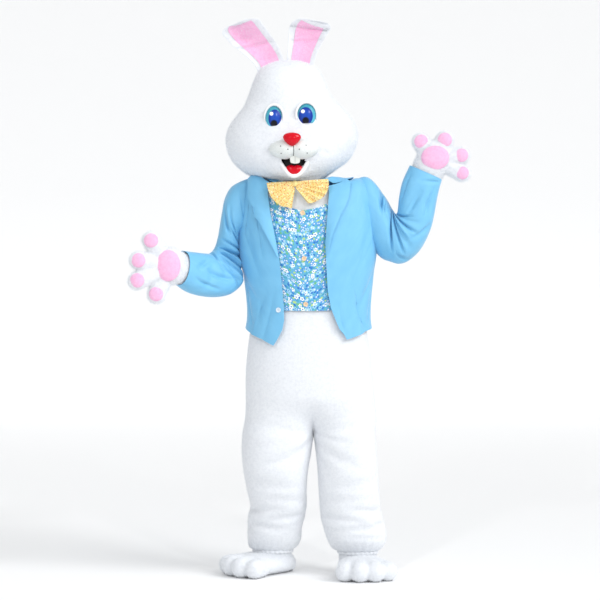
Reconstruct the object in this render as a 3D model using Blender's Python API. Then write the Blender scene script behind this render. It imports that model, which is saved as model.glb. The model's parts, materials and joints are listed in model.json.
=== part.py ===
"""A rabbit mascot costume, filled out as when worn: head, jumpsuit, vest, jacket, bow tie, gloves and boots.

The costume faces -Y and +X is the wearer's left. The origin is at the middle of the neck opening.
Tables are in millimetres, with their columns named on the line above each.
"""

import math

import bmesh
import bpy
import numpy as np
from mathutils import Matrix
from mathutils import Vector

MM = 0.001
FLOOR = -1410.0
SEAM_GAP = 0.3
PLUSH = 4.0
POPLIN = 1.8
PRINT_COTTON = 1.6
HEAD_SHELL = 8.0
EAR_CLOTH = 9.0
LINING = 1.6
FIT_GAP = 0.35
ROUNDNESS = 2.25
NUDGE = 1e-3

# z, centre x, centre y, half width, depth in front, depth behind: the jumpsuit from the neck to the crotch
TORSO = [
    (8.7, -12, 0, 78, 74, 74),
    (-8, -8, 4, 84, 78, 80),
    (-13, 0, 8, 128, 96, 98),
    (-22, 8, 8, 184, 112, 112),
    (-52, 14, 6, 220, 126, 124),
    (-100, 17, 4, 230, 134, 130),
    (-170, 18, 2, 233, 140, 130),
    (-250, 18, 0, 229, 140, 126),
    (-330, 20, 0, 216, 137, 124),
    (-410, 21, 2, 205, 134, 126),
    (-480, 21, 4, 203, 136, 134),
    (-540, 20, 6, 212, 142, 142),
    (-610, 21, 8, 222, 146, 150),
    (-680, 22, 8, 228, 146, 153),
    (-750, 25, 8, 231, 142, 152),
    (-815, 29, 8, 234, 136, 147),
    (-870, 34, 8, 238, 130, 140),
    (-905, 38, 8, 240, 125, 132),
]
CROTCH_ROW = 17
BLEND_ROWS = 3.0

# z, outer edge x, inner edge x, centre y, depth in front, depth behind: from above the crotch to the hem
LEG_L = [
    (-750, 256, 38, 8, 118, 126),
    (-815, 260, 38, 8, 116, 124),
    (-870, 260, 38, 8, 114, 122),
    (-905, 261, 38, 8, 112, 120),
    (-960, 265, 46, 9, 110, 116),
    (-1030, 269, 53, 14, 106, 112),
    (-1100, 274, 57, 22, 100, 106),
    (-1155, 279, 60, 30, 94, 100),
    (-1200, 288, 64, 37, 92, 98),
    (-1245, 299, 76, 43, 90, 94),
    (-1285, 302, 88, 48, 84, 88),
    (-1313, 288, 104, 50, 68, 72),
    (-1322, 272, 126, 50, 55, 57),
]
LEG_R = [
    (-750, -206, 38, 8, 118, 126),
    (-815, -211, 38, 8, 116, 124),
    (-870, -217, 38, 8, 114, 122),
    (-905, -219, 38, 8, 112, 120),
    (-960, -221, 30, 10, 110, 116),
    (-1030, -215, 18, 20, 106, 112),
    (-1100, -203, 13, 38, 100, 106),
    (-1155, -192, 14, 58, 94, 100),
    (-1200, -200, 8, 76, 92, 98),
    (-1245, -202, -4, 92, 90, 94),
    (-1288, -203, -6, 104, 84, 88),
    (-1316, -199, -21, 108, 68, 72),
    (-1326, -183, -37, 108, 55, 57),
]
LEG_ABOVE_CROTCH = 3
FIRST_LEG_ROW = CROTCH_ROW - LEG_ABOVE_CROTCH
LAST_LEG_ROW = FIRST_LEG_ROW + len(LEG_L) - 1

# Folds of a leg. From angle, from z, to angle, to z, width, depth: 0 is the outer seam and 90 the front
LEG_FOLDS = [
    (165, -915, 70, -1010, 17, 9),
    (150, -890, 60, -850, 18, 6),
    (20, -1060, 120, -1085, 20, 8),
    (60, -1120, 165, -1140, 16, 7),
    (5, -1175, 90, -1165, 13, 10),
    (80, -1205, 175, -1185, 13, 10),
    (20, -1225, 110, -1240, 13, 9),
    (-30, -1170, -120, -1180, 14, 10),
    (-60, -1225, -160, -1215, 14, 9),
    (-165, -930, -60, -1000, 20, 9),
    (-30, -1050, -140, -1090, 20, 8),
]
LEG_MM_PER_DEGREE = 1.9
ANKLE_GATHERS = 12
ANKLE_GATHER_DEPTH = 5.0

# Folds of the jacket body. From angle, z, to angle, z, width, depth: 0 is the front, 90 the wearer's left
JACKET_FOLDS = [
    (60, -150, 46, -330, 20, 6),
    (84, -300, 52, -440, 22, 7),
    (-60, -150, -48, -330, 20, 6),
    (-84, -320, -50, -430, 22, 7),
    (-40, -380, -62, -500, 20, 6),
    (44, -420, 66, -520, 20, 6),
    (120, -150, 160, -260, 22, 6),
    (-120, -150, -160, -270, 22, 6),
    (140, -330, 165, -500, 26, 8),
    (-135, -330, -160, -490, 26, 8),
    (180, -180, 176, -420, 18, 4),
]
JACKET_MM_PER_DEGREE = 3.3

# z, distance of the jacket from the jumpsuit at that height
JACKET_LIFT = [(-8, 3), (-13, 9), (-22, 14), (-100, 17), (-330, 18), (-410, 20), (-480, 20), (-600, 20)]
VEST_LIFT = [(-15, 3.6), (-24, 7.6), (-100, 7.2), (-330, 7.5), (-480, 8)]

# z, x of the jacket's front edge on the wearer's left, and on the wearer's right
JACKET_EDGE = [
    (-8, 62, -80),
    (-30, 90, -122),
    (-110, 84, -110),
    (-212, 76, -90),
    (-284, 79, -78),
    (-380, 84, -68),
    (-440, 94, -63),
    (-486, 110, -62),
    (-520, 122, -68),
    (-552, 146, -84),
    (-580, 160, -100),
]
JACKET_HEM_SIDE = -516.0
JACKET_HEM_FRONT_L = -556.0
JACKET_HEM_FRONT_R = -576.0
JACKET_HEM_BACK = -548.0

# z, x of the lapel's outer edge on the wearer's left, and on the wearer's right
LAPEL_EDGE = [
    (-14, 136, -150),
    (-36, 158, -180),
    (-70, 150, -174),
    (-120, 124, -152),
    (-190, 96, -118),
    (-262, 84, -86),
]

# Sleeve sections. Upper edge x, y, z, then lower edge x, y, z, then half depth
SLEEVE_L = [
    (186, 6, -46, 224, 6, -176, 60),
    (234, 4, -4, 254, 4, -232, 78),
    (266, 2, -16, 284, 2, -264, 84),
    (298, 0, -48, 314, 0, -276, 84),
    (318, -2, -84, 346, -6, -284, 82),
    (327, -6, -100, 380, -12, -272, 80),
    (334, -10, -104, 422, -18, -232, 78),
    (339, -14, -98, 455, -22, -168, 74),
    (341, -18, -80, 469, -26, -116, 70),
    (345, -22, -42, 478, -30, -64, 64),
    (356, -28, 10, 487, -34, -20, 58),
    (382, -32, 68, 497, -36, 16, 50),
]
SLEEVE_R = [
    (-176, 6, -44, -186, 6, -150, 56),
    (-230, 4, -6, -214, 4, -162, 70),
    (-260, 2, -14, -230, 2, -168, 76),
    (-281, 0, -48, -239, 0, -174, 76),
    (-291, 0, -96, -242, 0, -182, 72),
    (-299, 0, -144, -243, 0, -196, 68),
    (-307, -2, -190, -243, -2, -220, 62),
    (-316, -8, -222, -242, -6, -254, 54),
    (-328, -22, -242, -238, -14, -302, 48),
    (-340, -44, -252, -232, -32, -350, 48),
    (-350, -72, -255, -250, -64, -388, 52),
    (-364, -104, -252, -296, -102, -401, 55),
    (-385, -140, -248, -346, -139, -400, 55),
    (-401, -174, -245, -396, -174, -388, 52),
    (-415, -206, -243, -437, -206, -362, 46),
]

# Folds of a sleeve. From angle, row, to angle, row, width, depth: 0 is the upper edge and 90 the front
SLEEVE_L_FOLDS = [
    (20, 4.6, 110, 3.4, 13, 9),
    (30, 5.4, 130, 5.6, 12, 10),
    (20, 6.4, 100, 7.2, 12, 7),
    (60, 8.2, 90, 10.0, 12, 5),
    (130, 7.6, 120, 9.4, 14, 5),
    (-30, 5.0, -120, 5.2, 14, 9),
    (40, 2.2, 80, 3.4, 14, 6),
]
SLEEVE_R_FOLDS = [
    (150, 7.6, 60, 7.2, 12, 8),
    (160, 8.6, 60, 8.6, 12, 11),
    (160, 9.6, 70, 9.4, 12, 10),
    (30, 9.6, 120, 10.8, 13, 6),
    (60, 11.2, 140, 12.4, 12, 5),
    (50, 4.0, 120, 5.6, 14, 5),
    (-40, 7.4, -130, 8.2, 14, 9),
]
SLEEVE_MM_PER_DEGREE = 1.1
SLEEVE_MM_PER_ROW = 46.0

# z, centre x, centre y, half width, depth in front, depth behind: the head from its crown to its neck opening
HEAD = [
    (443, -50, -20, 1, 1, 1),
    (440, -50, -20, 42, 36, 40),
    (428, -50, -20, 78, 66, 76),
    (406, -51, -20, 106, 92, 106),
    (368, -51, -20, 127, 114, 134),
    (320, -48, -20, 146, 130, 156),
    (282, -40, -20, 171, 143, 169),
    (245, -35, -21, 203, 153, 178),
    (205, -38, -22, 227, 161, 185),
    (165, -41, -23, 236, 166, 187),
    (125, -43, -24, 228, 168, 182),
    (88, -47, -25, 208, 162, 172),
    (56, -51, -24, 173, 150, 153),
    (34, -48, -20, 138, 130, 128),
    (19, -32, -10, 104, 102, 98),
    (9, -12, 0, 78.6, 74.6, 74.6),
]

# Ear sections. Left edge x, z, right edge x, z, then centre y and the depth of the cup
EAR_R = [
    (-158, 388, -60, 414, -22, 8),
    (-171, 426, -74, 462, -20, 12),
    (-193, 450, -86, 490, -20, 16),
    (-223, 475, -103, 518, -24, 20),
    (-251, 497, -121, 542, -34, 20),
    (-272, 516, -138, 564, -48, 16),
    (-288, 535, -156, 584, -64, 12),
    (-280, 551, -176, 588, -70, 8),
    (-259, 562, -204, 585, -72, 5),
]
EAR_L = [
    (-62, 404, 34, 402, -22, 8),
    (-58, 456, 45, 456, -18, 14),
    (-54, 497, 62, 497, -14, 20),
    (-52, 533, 80, 530, -12, 20),
    (-50, 561, 95, 553, -16, 16),
    (-42, 578, 99, 563, -26, 12),
    (-24, 590, 91, 575, -34, 8),
    (0, 594, 70, 581, -38, 5),
]

# Glove lobes. Tip x, z and radius, from the palm's middle: the last row is the thumb on the right glove
LOBES_L = [(-50, 60, 31), (36, 66, 32), (97, 10, 30), (100, -54, 29)]
LOBES_R = [(-59, 88, 31), (-102, 18, 31), (-106, -52, 31), (-42, -100, 31)]
GLOVE_CENTRE_L = (470, -44, 92)
GLOVE_CENTRE_R = (-464, -244, -296)
GLOVE_CLOTH = 4.0
LOBE_FLATNESS = 0.74

# Boot covers: middle of the ankle, and heading in degrees from straight ahead to the wearer's right
BOOT_L_ANKLE = (207, 50)
BOOT_R_ANKLE = (-110, 108)
BOOT_L_HEADING = -7.0
BOOT_R_HEADING = 50.0
BOOT_TUBE = (64, 48)
BOOT_CLOTH = 5.0
SOLE = 4.0

# Distance ahead of the ankle, half width, height: the boot cover from heel to toes
BOOT = [
    (-80, 20, 36),
    (-72, 44, 60),
    (-50, 62, 70),
    (-16, 76, 73),
    (40, 86, 75),
    (95, 96, 76),
    (132, 90, 68),
    (150, 60, 46),
]
# Distance ahead, distance aside, radius: the four toes
TOES = [(146, -76, 34), (168, -27, 37), (168, 27, 37), (148, 76, 34)]


def at(table, place):
    """The table's row at `place`, a number of rows from its start, on a smooth curve through its rows."""
    rows = np.asarray(table, float)
    first = int(min(max(math.floor(place), 0), len(rows) - 2))
    part = place - first
    before = rows[max(first - 1, 0)]
    after = rows[min(first + 2, len(rows) - 1)]
    start = rows[first]
    end = rows[first + 1]
    leave = (end - before) / 2
    arrive = (after - start) / 2
    square = part * part
    cube = square * part
    return (
        start * (2 * cube - 3 * square + 1)
        + leave * (cube - 2 * square + part)
        + end * (3 * square - 2 * cube)
        + arrive * (cube - square)
    )


def by_height(table, z, column):
    """A column of a table whose first column is a falling z, read at z."""
    rows = np.asarray(table, float)
    return float(np.interp(-z, -rows[:, 0], rows[:, column]))


def row_at_height(table, z):
    """The place in the table at which its falling z column reaches z."""
    heights = -np.asarray(table, float)[:, 0]
    return float(np.interp(-z, heights, np.arange(len(heights))))


def rounded(value):
    """A cosine or sine turned into that of a slightly square ring."""
    return math.copysign(abs(value) ** (2 / ROUNDNESS), value)


def unit(vector):
    return vector / np.linalg.norm(vector)


def folded(folds, angle, along, per_degree, per_along):
    """How far the folds pull the cloth in at an angle and a place along the piece."""
    pull = 0.0
    for angle_a, along_a, angle_b, along_b, width, depth in folds:
        turn = (angle - angle_a + 180) % 360 - 180
        point = np.array([turn * per_degree, (along - along_a) * per_along])
        run = np.array([(angle_b - angle_a) * per_degree, (along_b - along_a) * per_along])
        share = min(max(point @ run / (run @ run), 0), 1)
        away = np.linalg.norm(point - run * share)
        pull += depth * math.exp(-((away / width) ** 2)) * math.sin(math.pi * (0.15 + 0.7 * share))
    return pull


def ring_point(row, angle):
    """A point of a table row's ring: angle 0 is the front and 90 the wearer's left."""
    z, x, y, half, front, back = row
    turn = math.radians(angle)
    depth = front if math.cos(turn) > 0 else back
    return np.array([x + half * rounded(math.sin(turn)), y - depth * rounded(math.cos(turn)), z])


def torso(place, angle):
    return ring_point(at(TORSO, place), angle)


def torso_row(z):
    return row_at_height(TORSO, z)


def torso_angle(place, x):
    """The angle at which the front of the torso's ring reaches x."""
    row = at(TORSO, place)
    share = min(max((x - row[1]) / row[3], -1), 1)
    return math.degrees(math.asin(math.copysign(abs(share) ** (ROUNDNESS / 2), share)))


def jacket_side(place, angle):
    """The jacket's outer side over the torso."""
    point = torso(place, angle)
    pull = folded(JACKET_FOLDS, angle, point[2], JACKET_MM_PER_DEGREE, 1.0)
    turn = math.radians(angle)
    return point - pull * np.array([math.sin(turn), -math.cos(turn), 0])


def leg_share(place):
    """1 on the torso, 0 on the leg, and between them round the crotch."""
    share = min(max((CROTCH_ROW - place) / BLEND_ROWS, 0), 1)
    return share * share * (3 - 2 * share)


def jumpsuit(side, face):
    """The jumpsuit's outer side: across runs from the side seam, 0, to the centre seam or inseam, 1."""
    leg = LEG_L if side > 0 else LEG_R

    def point(place, across):
        body = leg_share(place)
        made = np.zeros(3)
        if body > 0:
            row = at(TORSO, place)
            turn = across * math.pi / 2
            depth = row[4] if face > 0 else row[5]
            x = row[1] + side * row[3] * rounded(math.cos(turn))
            made += body * np.array([x, row[2] - face * depth * rounded(math.sin(turn)), row[0]])
        if body < 1:
            z, outer, inner, y, front, back = at(leg, place - FIRST_LEG_ROW)
            turn = across * math.pi
            angle = face * across * 180
            pull = folded(LEG_FOLDS, angle, z, LEG_MM_PER_DEGREE, 1.0)
            gather = min(max((-1270 - z) / 50, 0), 1)
            pull += gather * ANKLE_GATHER_DEPTH * math.sin(math.radians(angle) * ANKLE_GATHERS) ** 2
            depth = (front if face > 0 else back) - pull
            half = (outer - inner) / 2
            half -= math.copysign(pull, half)
            x = (outer + inner) / 2 + half * rounded(math.cos(turn))
            made += (1 - body) * np.array([x, y - face * depth * rounded(math.sin(turn)), z])
        return made

    return point


def tube_between(table, folds):
    """A sleeve's outer side: across 0 is its upper edge, and 0.25 its front."""

    def middle(place):
        row = at(table, place)
        return (row[:3] + row[3:6]) / 2

    def point(place, across):
        row = at(table, place)
        half = (row[:3] - row[3:6]) / 2
        run = middle(place + 0.05) - middle(place - 0.05)
        aside = unit(np.cross(unit(half), unit(run)))
        if aside[1] > 0:
            aside = -aside
        turn = across * 2 * math.pi
        pull = folded(folds, math.degrees(turn), place, SLEEVE_MM_PER_DEGREE, SLEEVE_MM_PER_ROW)
        size = np.linalg.norm(half)
        along_half = unit(half) * (size - pull) * rounded(math.cos(turn))
        return middle(place) + along_half + aside * (row[6] - pull) * rounded(math.sin(turn))

    return point


def head_side(place, angle):
    return ring_point(at(HEAD, place), angle)


def ear_side(table):
    """The back of an ear: across 0 is its left edge and 1 its right."""

    def point(place, across):
        left_x, left_z, right_x, right_z, y, cup = at(table, place)
        share = 2 * across - 1
        bulge = y + cup * (1 - share * share)
        return np.array([left_x + (right_x - left_x) * across, bulge, left_z + (right_z - left_z) * across])

    return point


def normal_at(side, place, across, step):
    """The outward direction of a side, from points a little way round it."""
    along = side(place + NUDGE, across) - side(place - NUDGE, across)
    around = side(place, across + step * NUDGE) - side(place, across - step * NUDGE)
    return unit(np.cross(along, around))


def keep(bm, name, cloth):
    """The bmesh as an object of the scene, its faces pointing out."""
    bmesh.ops.recalc_face_normals(bm, faces=bm.faces)
    if bm.calc_volume(signed=True) < 0:
        bmesh.ops.reverse_faces(bm, faces=bm.faces)
    mesh = bpy.data.meshes.new(name)
    bm.to_mesh(mesh)
    bm.free()
    mesh.materials.append(cloth)
    mesh.shade_smooth()
    thing = bpy.data.objects.new(name, mesh)
    bpy.context.scene.collection.objects.link(thing)
    return thing


def helper(thing):
    """Marks a cutter or a guide, which is not part of the costume."""
    thing.hide_render = True
    thing.display_type = "WIRE"
    return thing


def grid_of(bm, rows, columns, closed):
    """A grid whose points know their row and column. A closed one is rolled into a tube."""
    row_of = bm.verts.layers.int.new("row")
    column_of = bm.verts.layers.int.new("column")
    bmesh.ops.create_grid(bm, x_segments=columns, y_segments=rows, size=1)
    for vert in bm.verts:
        vert[row_of] = round((vert.co.y + 1) / 2 * rows)
        vert[column_of] = round((vert.co.x + 1) / 2 * columns)
    if closed:
        for vert in bm.verts:
            turn = 2 * math.pi * (vert[column_of] % columns) / columns
            vert.co = (math.cos(turn), math.sin(turn), vert[row_of])
        bmesh.ops.remove_doubles(bm, verts=bm.verts, dist=1e-6)
    bmesh.ops.triangulate(bm, faces=bm.faces, quad_method="FIXED")
    return row_of, column_of


def wall(name, cloth, points, rows, columns, closed=False):
    """A wall of cloth. points gives the outer and the inner point of a row and a column."""
    bm = bmesh.new()
    row_of, column_of = grid_of(bm, rows, columns, closed)
    outer = bm.verts[:]
    edges = [tuple(edge.verts) for edge in bm.edges if edge.is_boundary]
    twin = bmesh.ops.duplicate(bm, geom=bm.verts[:] + bm.edges[:] + bm.faces[:])["vert_map"]
    for vert in outer:
        column = vert[column_of] % columns if closed else vert[column_of]
        outside, inside = points(vert[row_of], column)
        vert.co = Vector(outside) * MM
        twin[vert].co = Vector(inside) * MM
    for one, two in edges:
        bm.faces.new((two, one, twin[one], twin[two]))
    return keep(bm, name, cloth)


def sheet_points(side, place_of, step, lift, thick, rows, columns, seams=(), closed=False):
    """The points function of a wall `lift` outside a side, with half a seam gap at its seam columns."""

    def points(row, column):
        place, across = place_of(row / rows, column / columns)
        point = side(place, across)
        outward = normal_at(side, place, across, step)
        if column in seams and not closed:
            neighbour = 1 if column == 0 else columns - 1
            there = place_of(row / rows, neighbour / columns)[1]
            tiny = math.copysign(NUDGE, there - across) * abs(step)
            point = point + unit(side(place, across + tiny) - point) * SEAM_GAP / 2
        height = lift(point[2]) if callable(lift) else lift
        return point + outward * height, point + outward * (height - thick)

    return points


def loft(name, cloth, point, rows, columns):
    """A closed solid from rings: point gives the place of a row and a column, and flat ends close it."""
    bm = bmesh.new()
    row_of, column_of = grid_of(bm, rows, columns, True)
    for vert in bm.verts:
        vert.co = Vector(point(vert[row_of], vert[column_of] % columns)) * MM
    bmesh.ops.holes_fill(bm, edges=[edge for edge in bm.edges if edge.is_boundary])
    return keep(bm, name, cloth)


def ball(name, cloth, centre, radii, segments=16, rings=8, shape=None):
    """A ball stretched to its radii, each of its points then moved by shape."""
    bm = bmesh.new()
    half_step = Matrix.Rotation(math.pi / segments, 4, "Z")
    bmesh.ops.create_uvsphere(bm, u_segments=segments, v_segments=rings, radius=1, matrix=half_step)
    for vert in bm.verts:
        place = shape(vert.co.copy()) if shape else vert.co
        vert.co = Vector([centre[axis] + radii[axis] * place[axis] for axis in range(3)]) * MM
    return keep(bm, name, cloth)


def capsule(name, cloth, start, end, start_radius, end_radius, flatness, segments=10, rings=6):
    """A lobe: a ball at its tip, drawn out to a smaller one at its root, and flattened from front to back."""
    bm = bmesh.new()
    half_step = Matrix.Rotation(math.pi / segments, 4, "Z")
    bmesh.ops.create_uvsphere(bm, u_segments=segments, v_segments=rings, radius=1, matrix=half_step)
    root = Vector(start)
    tip = Vector(end)
    run = tip - root
    aside = Vector((0, 1, 0)).cross(run).normalized()
    depth = run.normalized().cross(aside)
    for vert in bm.verts:
        near = vert.co.z < 0
        radius = start_radius if near else end_radius
        centre = root if near else tip
        place = aside * vert.co.x + depth * vert.co.y * flatness + run.normalized() * vert.co.z
        vert.co = (centre + place * radius) * MM
    return keep(bm, name, cloth)


def block(name, cloth, low, high):
    bm = bmesh.new()
    bmesh.ops.create_cube(bm, size=1)
    for vert in bm.verts:
        vert.co = Vector([((low[i] + high[i]) / 2 + vert.co[i] * (high[i] - low[i])) * MM for i in range(3)])
    return keep(bm, name, cloth)


def combine(thing, other, operation="DIFFERENCE", solver="EXACT"):
    """Cuts, joins or intersects a piece with a helper."""
    modifier = thing.modifiers.new(other.name, "BOOLEAN")
    modifier.operation = operation
    modifier.solver = solver
    modifier.object = helper(other)
    return thing


def settled(thing, name):
    """A new object with the thing's modifiers worked into its mesh. The thing itself goes."""
    bpy.context.view_layer.update()
    graph = bpy.context.evaluated_depsgraph_get()
    mesh = bpy.data.meshes.new_from_object(thing.evaluated_get(graph))
    bpy.data.objects.remove(thing)
    made = bpy.data.objects.new(name, mesh)
    mesh.name = name
    bpy.context.scene.collection.objects.link(made)
    return made


def copy_of(thing, name):
    """Another object with its own copy of the mesh."""
    made = bpy.data.objects.new(name, thing.data.copy())
    bpy.context.scene.collection.objects.link(made)
    return made


def paint(name, colour, roughness):
    material = bpy.data.materials.new(name)
    material.use_nodes = True
    shader = material.node_tree.nodes["Principled BSDF"]
    shader.inputs["Base Color"].default_value = (*colour, 1)
    shader.inputs["Roughness"].default_value = roughness
    shader.inputs["Metallic"].default_value = 0.0
    return material


for old in list(bpy.data.objects):
    bpy.data.objects.remove(old)

plush = paint("white_plush", (0.9, 0.91, 0.93), 0.95)
pink = paint("pink_plush", (0.93, 0.6, 0.72), 0.9)
moulded = paint("moulded_white", (0.86, 0.87, 0.88), 0.5)
red = paint("gloss_red", (0.75, 0.03, 0.04), 0.15)
black = paint("mouth_black", (0.01, 0.01, 0.012), 0.8)
ivory = paint("tooth_ivory", (0.9, 0.88, 0.78), 0.3)
blue_eye = paint("eye_blue", (0.05, 0.3, 0.6), 0.1)
yellow = paint("dotted_yellow", (0.92, 0.83, 0.5), 0.8)
print_cotton = paint("flower_print", (0.35, 0.68, 0.75), 0.8)
poplin = paint("blue_poplin", (0.3, 0.58, 0.82), 0.45)
peach = paint("peach_button", (0.9, 0.65, 0.45), 0.3)
pearl = paint("pearl_button", (0.8, 0.88, 0.95), 0.2)

# Jumpsuit
SUIT_COLUMNS = 6
SUIT_ROWS = [0, 1, 2, 3, 4, 6, 8, 10] + list(range(CROTCH_ROW - 3, LAST_LEG_ROW + 1))


def make_jumpsuit():
    pieces = {}
    for side, mark in ((1, "l"), (-1, "r")):
        for face, part in ((1, "front"), (-1, "back")):
            outer = jumpsuit(side, face)
            points = sheet_points(
                outer,
                lambda row, column: (SUIT_ROWS[round(row * (len(SUIT_ROWS) - 1))], column),
                -side * face,
                0,
                PLUSH,
                len(SUIT_ROWS) - 1,
                SUIT_COLUMNS,
                seams=(0, SUIT_COLUMNS),
            )
            name = f"jumpsuit_{part}_{mark}"
            pieces[name] = wall(name, plush, points, len(SUIT_ROWS) - 1, SUIT_COLUMNS)
    return pieces


# Vest
# angle from the front, z of the vest's top edge
VEST_NECK = [(0, -100), (10, -92), (20, -74), (33, -50), (45, -30), (58, -18), (90, -15)]
VEST_CENTRE_TOP_X = -4.0
VEST_CENTRE_HEM_X = 8.0
VEST_HEM = -446.0
VEST_ROW_SHARES = [0, 0.02, 0.085, 0.26, 0.45, 0.64, 0.82, 1]
VEST_ROWS = len(VEST_ROW_SHARES) - 1
VEST_FRONT_COLUMNS = 6
VEST_BACK_COLUMNS = 12


def vest_lift(z):
    return float(np.interp(-z, [-row[0] for row in VEST_LIFT], [row[1] for row in VEST_LIFT]))


def jacket_lift(z):
    return float(np.interp(-z, [-row[0] for row in JACKET_LIFT], [row[1] for row in JACKET_LIFT]))


def vest_centre_angle(z):
    share = min(max((z - VEST_NECK[0][1]) / (VEST_HEM - VEST_NECK[0][1]), 0), 1)
    x = VEST_CENTRE_TOP_X + (VEST_CENTRE_HEM_X - VEST_CENTRE_TOP_X) * share
    return torso_angle(torso_row(z), x)


def vest_place(start, end):
    """Rows and columns of a vest panel to the place and angle on the torso."""

    def place_of(row, column):
        angle = start + (end - start) * column
        around = abs((angle + 180) % 360 - 180)
        top = np.interp(around, [item[0] for item in VEST_NECK], [item[1] for item in VEST_NECK])
        z = top + (VEST_HEM - top) * VEST_ROW_SHARES[round(row * VEST_ROWS)]
        if start == 0 or end == 0:
            centre = vest_centre_angle(z)
            angle = centre + (end - centre) * column if start == 0 else start + (centre - start) * column
        return torso_row(z), angle

    return place_of


def make_vest():
    pieces = {}
    panels = [
        ("vest_front_l", 0, 90, VEST_FRONT_COLUMNS),
        ("vest_front_r", -90, 0, VEST_FRONT_COLUMNS),
        ("vest_back", 90, 270, VEST_BACK_COLUMNS),
    ]
    for name, start, end, columns in panels:
        points = sheet_points(
            torso, vest_place(start, end), 20, vest_lift, PRINT_COTTON, VEST_ROWS, columns, (0, columns)
        )
        pieces[name] = wall(name, print_cotton, points, VEST_ROWS, columns)
    return pieces


# Buttons: radius and thickness
VEST_BUTTON = (7.0, 3.5)
JACKET_BUTTON = (7.5, 3.5)
VEST_BUTTON_HEIGHTS = [-110, -268, -428]
JACKET_BUTTON_Z = -448
JACKET_BUTTON_X = -80
BUTTON_GAP = 0.8
BUTTON_TOP_SHARE = 0.8


def make_button(name, cloth, side, z, angle, lift, size):
    """A round button, narrower at its face, lying on a side at a height and an angle."""
    radius, thick = size
    place = torso_row(z)
    outward = Vector(normal_at(side, place, angle, 20))
    centre = Vector(side(place, angle)) + outward * (lift + BUTTON_GAP + thick / 2)
    turn = outward.to_track_quat("Z", "Y").to_matrix().to_4x4()
    bm = bmesh.new()
    bmesh.ops.create_cone(
        bm,
        cap_ends=True,
        segments=10,
        radius1=radius * MM,
        radius2=radius * BUTTON_TOP_SHARE * MM,
        depth=thick * MM,
        matrix=Matrix.Translation(centre * MM) @ turn,
    )
    return keep(bm, name, cloth)


# Jacket
JACKET_ROW_SHARES = [0, 0.013, 0.034, 0.08, 0.15, 0.25, 0.37, 0.5, 0.63, 0.76, 0.88, 1]
JACKET_FRONT_COLUMNS = 6
JACKET_BACK_COLUMNS = 10
JACKET_NECK = -9.0
JACKET_NECK_FRONT = -24.0


def jacket_place(mark):
    """Rows and columns of a jacket panel to the place and angle on the torso."""
    rows = len(JACKET_ROW_SHARES) - 1

    def front(row, column):
        share = JACKET_ROW_SHARES[round(row * rows)]
        out = column if mark == "l" else 1 - column
        top = JACKET_NECK_FRONT + (JACKET_NECK - JACKET_NECK_FRONT) * min(out * 2, 1)
        hem_front = JACKET_HEM_FRONT_L if mark == "l" else JACKET_HEM_FRONT_R
        hem = JACKET_HEM_SIDE + (hem_front - JACKET_HEM_SIDE) * (1 - out) ** 1.3
        z = top + (hem - top) * share
        place = torso_row(z)
        edge = torso_angle(place, by_height(JACKET_EDGE, z, 1 if mark == "l" else 2))
        end = 90 if mark == "l" else -90
        return place, edge + (end - edge) * out

    def back(row, column):
        share = JACKET_ROW_SHARES[round(row * rows)]
        hem = JACKET_HEM_SIDE + (JACKET_HEM_BACK - JACKET_HEM_SIDE) * math.sin(math.pi * column)
        z = JACKET_NECK + (hem - JACKET_NECK) * share
        return torso_row(z), 90 + 180 * column

    return back if mark == "back" else front


def make_jacket():
    pieces = {}
    rows = len(JACKET_ROW_SHARES) - 1
    panels = [
        ("jacket_front_l", "l", JACKET_FRONT_COLUMNS, (JACKET_FRONT_COLUMNS,)),
        ("jacket_front_r", "r", JACKET_FRONT_COLUMNS, (0,)),
        ("jacket_back", "back", JACKET_BACK_COLUMNS, (0, JACKET_BACK_COLUMNS)),
    ]
    for name, mark, columns, seams in panels:
        points = sheet_points(
            jacket_side, jacket_place(mark), 20, jacket_lift, POPLIN, rows, columns, seams
        )
        pieces[name] = wall(name, poplin, points, rows, columns)
    return pieces


LAPEL_HEIGHTS = [-26, -36, -48, -66, -95, -130, -170, -212, -262]
LAPEL_COLUMNS = 3
LAPEL_FOLD_GAP = 0.7
LAPEL_ROLL = 4.5
COLLAR_GAP = 0.7


def lapel_side(mark):
    """The lapel's under side: across runs from the fold at the front edge, 0, to its outer edge, 1."""
    column = 1 if mark == "l" else 2

    def point(place, across):
        z = float(np.interp(place, range(len(LAPEL_HEIGHTS)), LAPEL_HEIGHTS))
        row = torso_row(z)
        edge = torso_angle(row, by_height(JACKET_EDGE, z, column))
        outer = torso_angle(row, by_height(LAPEL_EDGE, z, column))
        angle = edge + (outer - edge) * across
        gap = LAPEL_FOLD_GAP + (LAPEL_ROLL - LAPEL_FOLD_GAP) * math.sin(min(max(across, 0), 1) * math.pi / 2)
        return jacket_side(row, angle) + normal_at(jacket_side, row, angle, 20) * (jacket_lift(z) + gap)

    return point


def make_lapel(mark):
    rows = len(LAPEL_HEIGHTS) - 1

    def place_of(row, column):
        return row * rows, column if mark == "l" else 1 - column

    step = 1 if mark == "l" else -1
    points = sheet_points(lapel_side(mark), place_of, step, POPLIN, POPLIN, rows, LAPEL_COLUMNS)
    return wall(f"lapel_{mark}", poplin, points, rows, LAPEL_COLUMNS)


# angle from the front, height to which the collar rises
COLLAR_RISE = [(40, 10), (60, 34), (90, 26), (130, 9), (180, 5), (230, 5), (270, 8), (300, 16), (318, 8)]
COLLAR_ROWS = 3
COLLAR_COLUMNS = 16
COLLAR_FROM = -10.0
COLLAR_TO = -21.0
COLLAR_ROLL = 0.8
COLLAR_START_ANGLE = 40.0
COLLAR_SWEEP = 278.0


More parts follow.
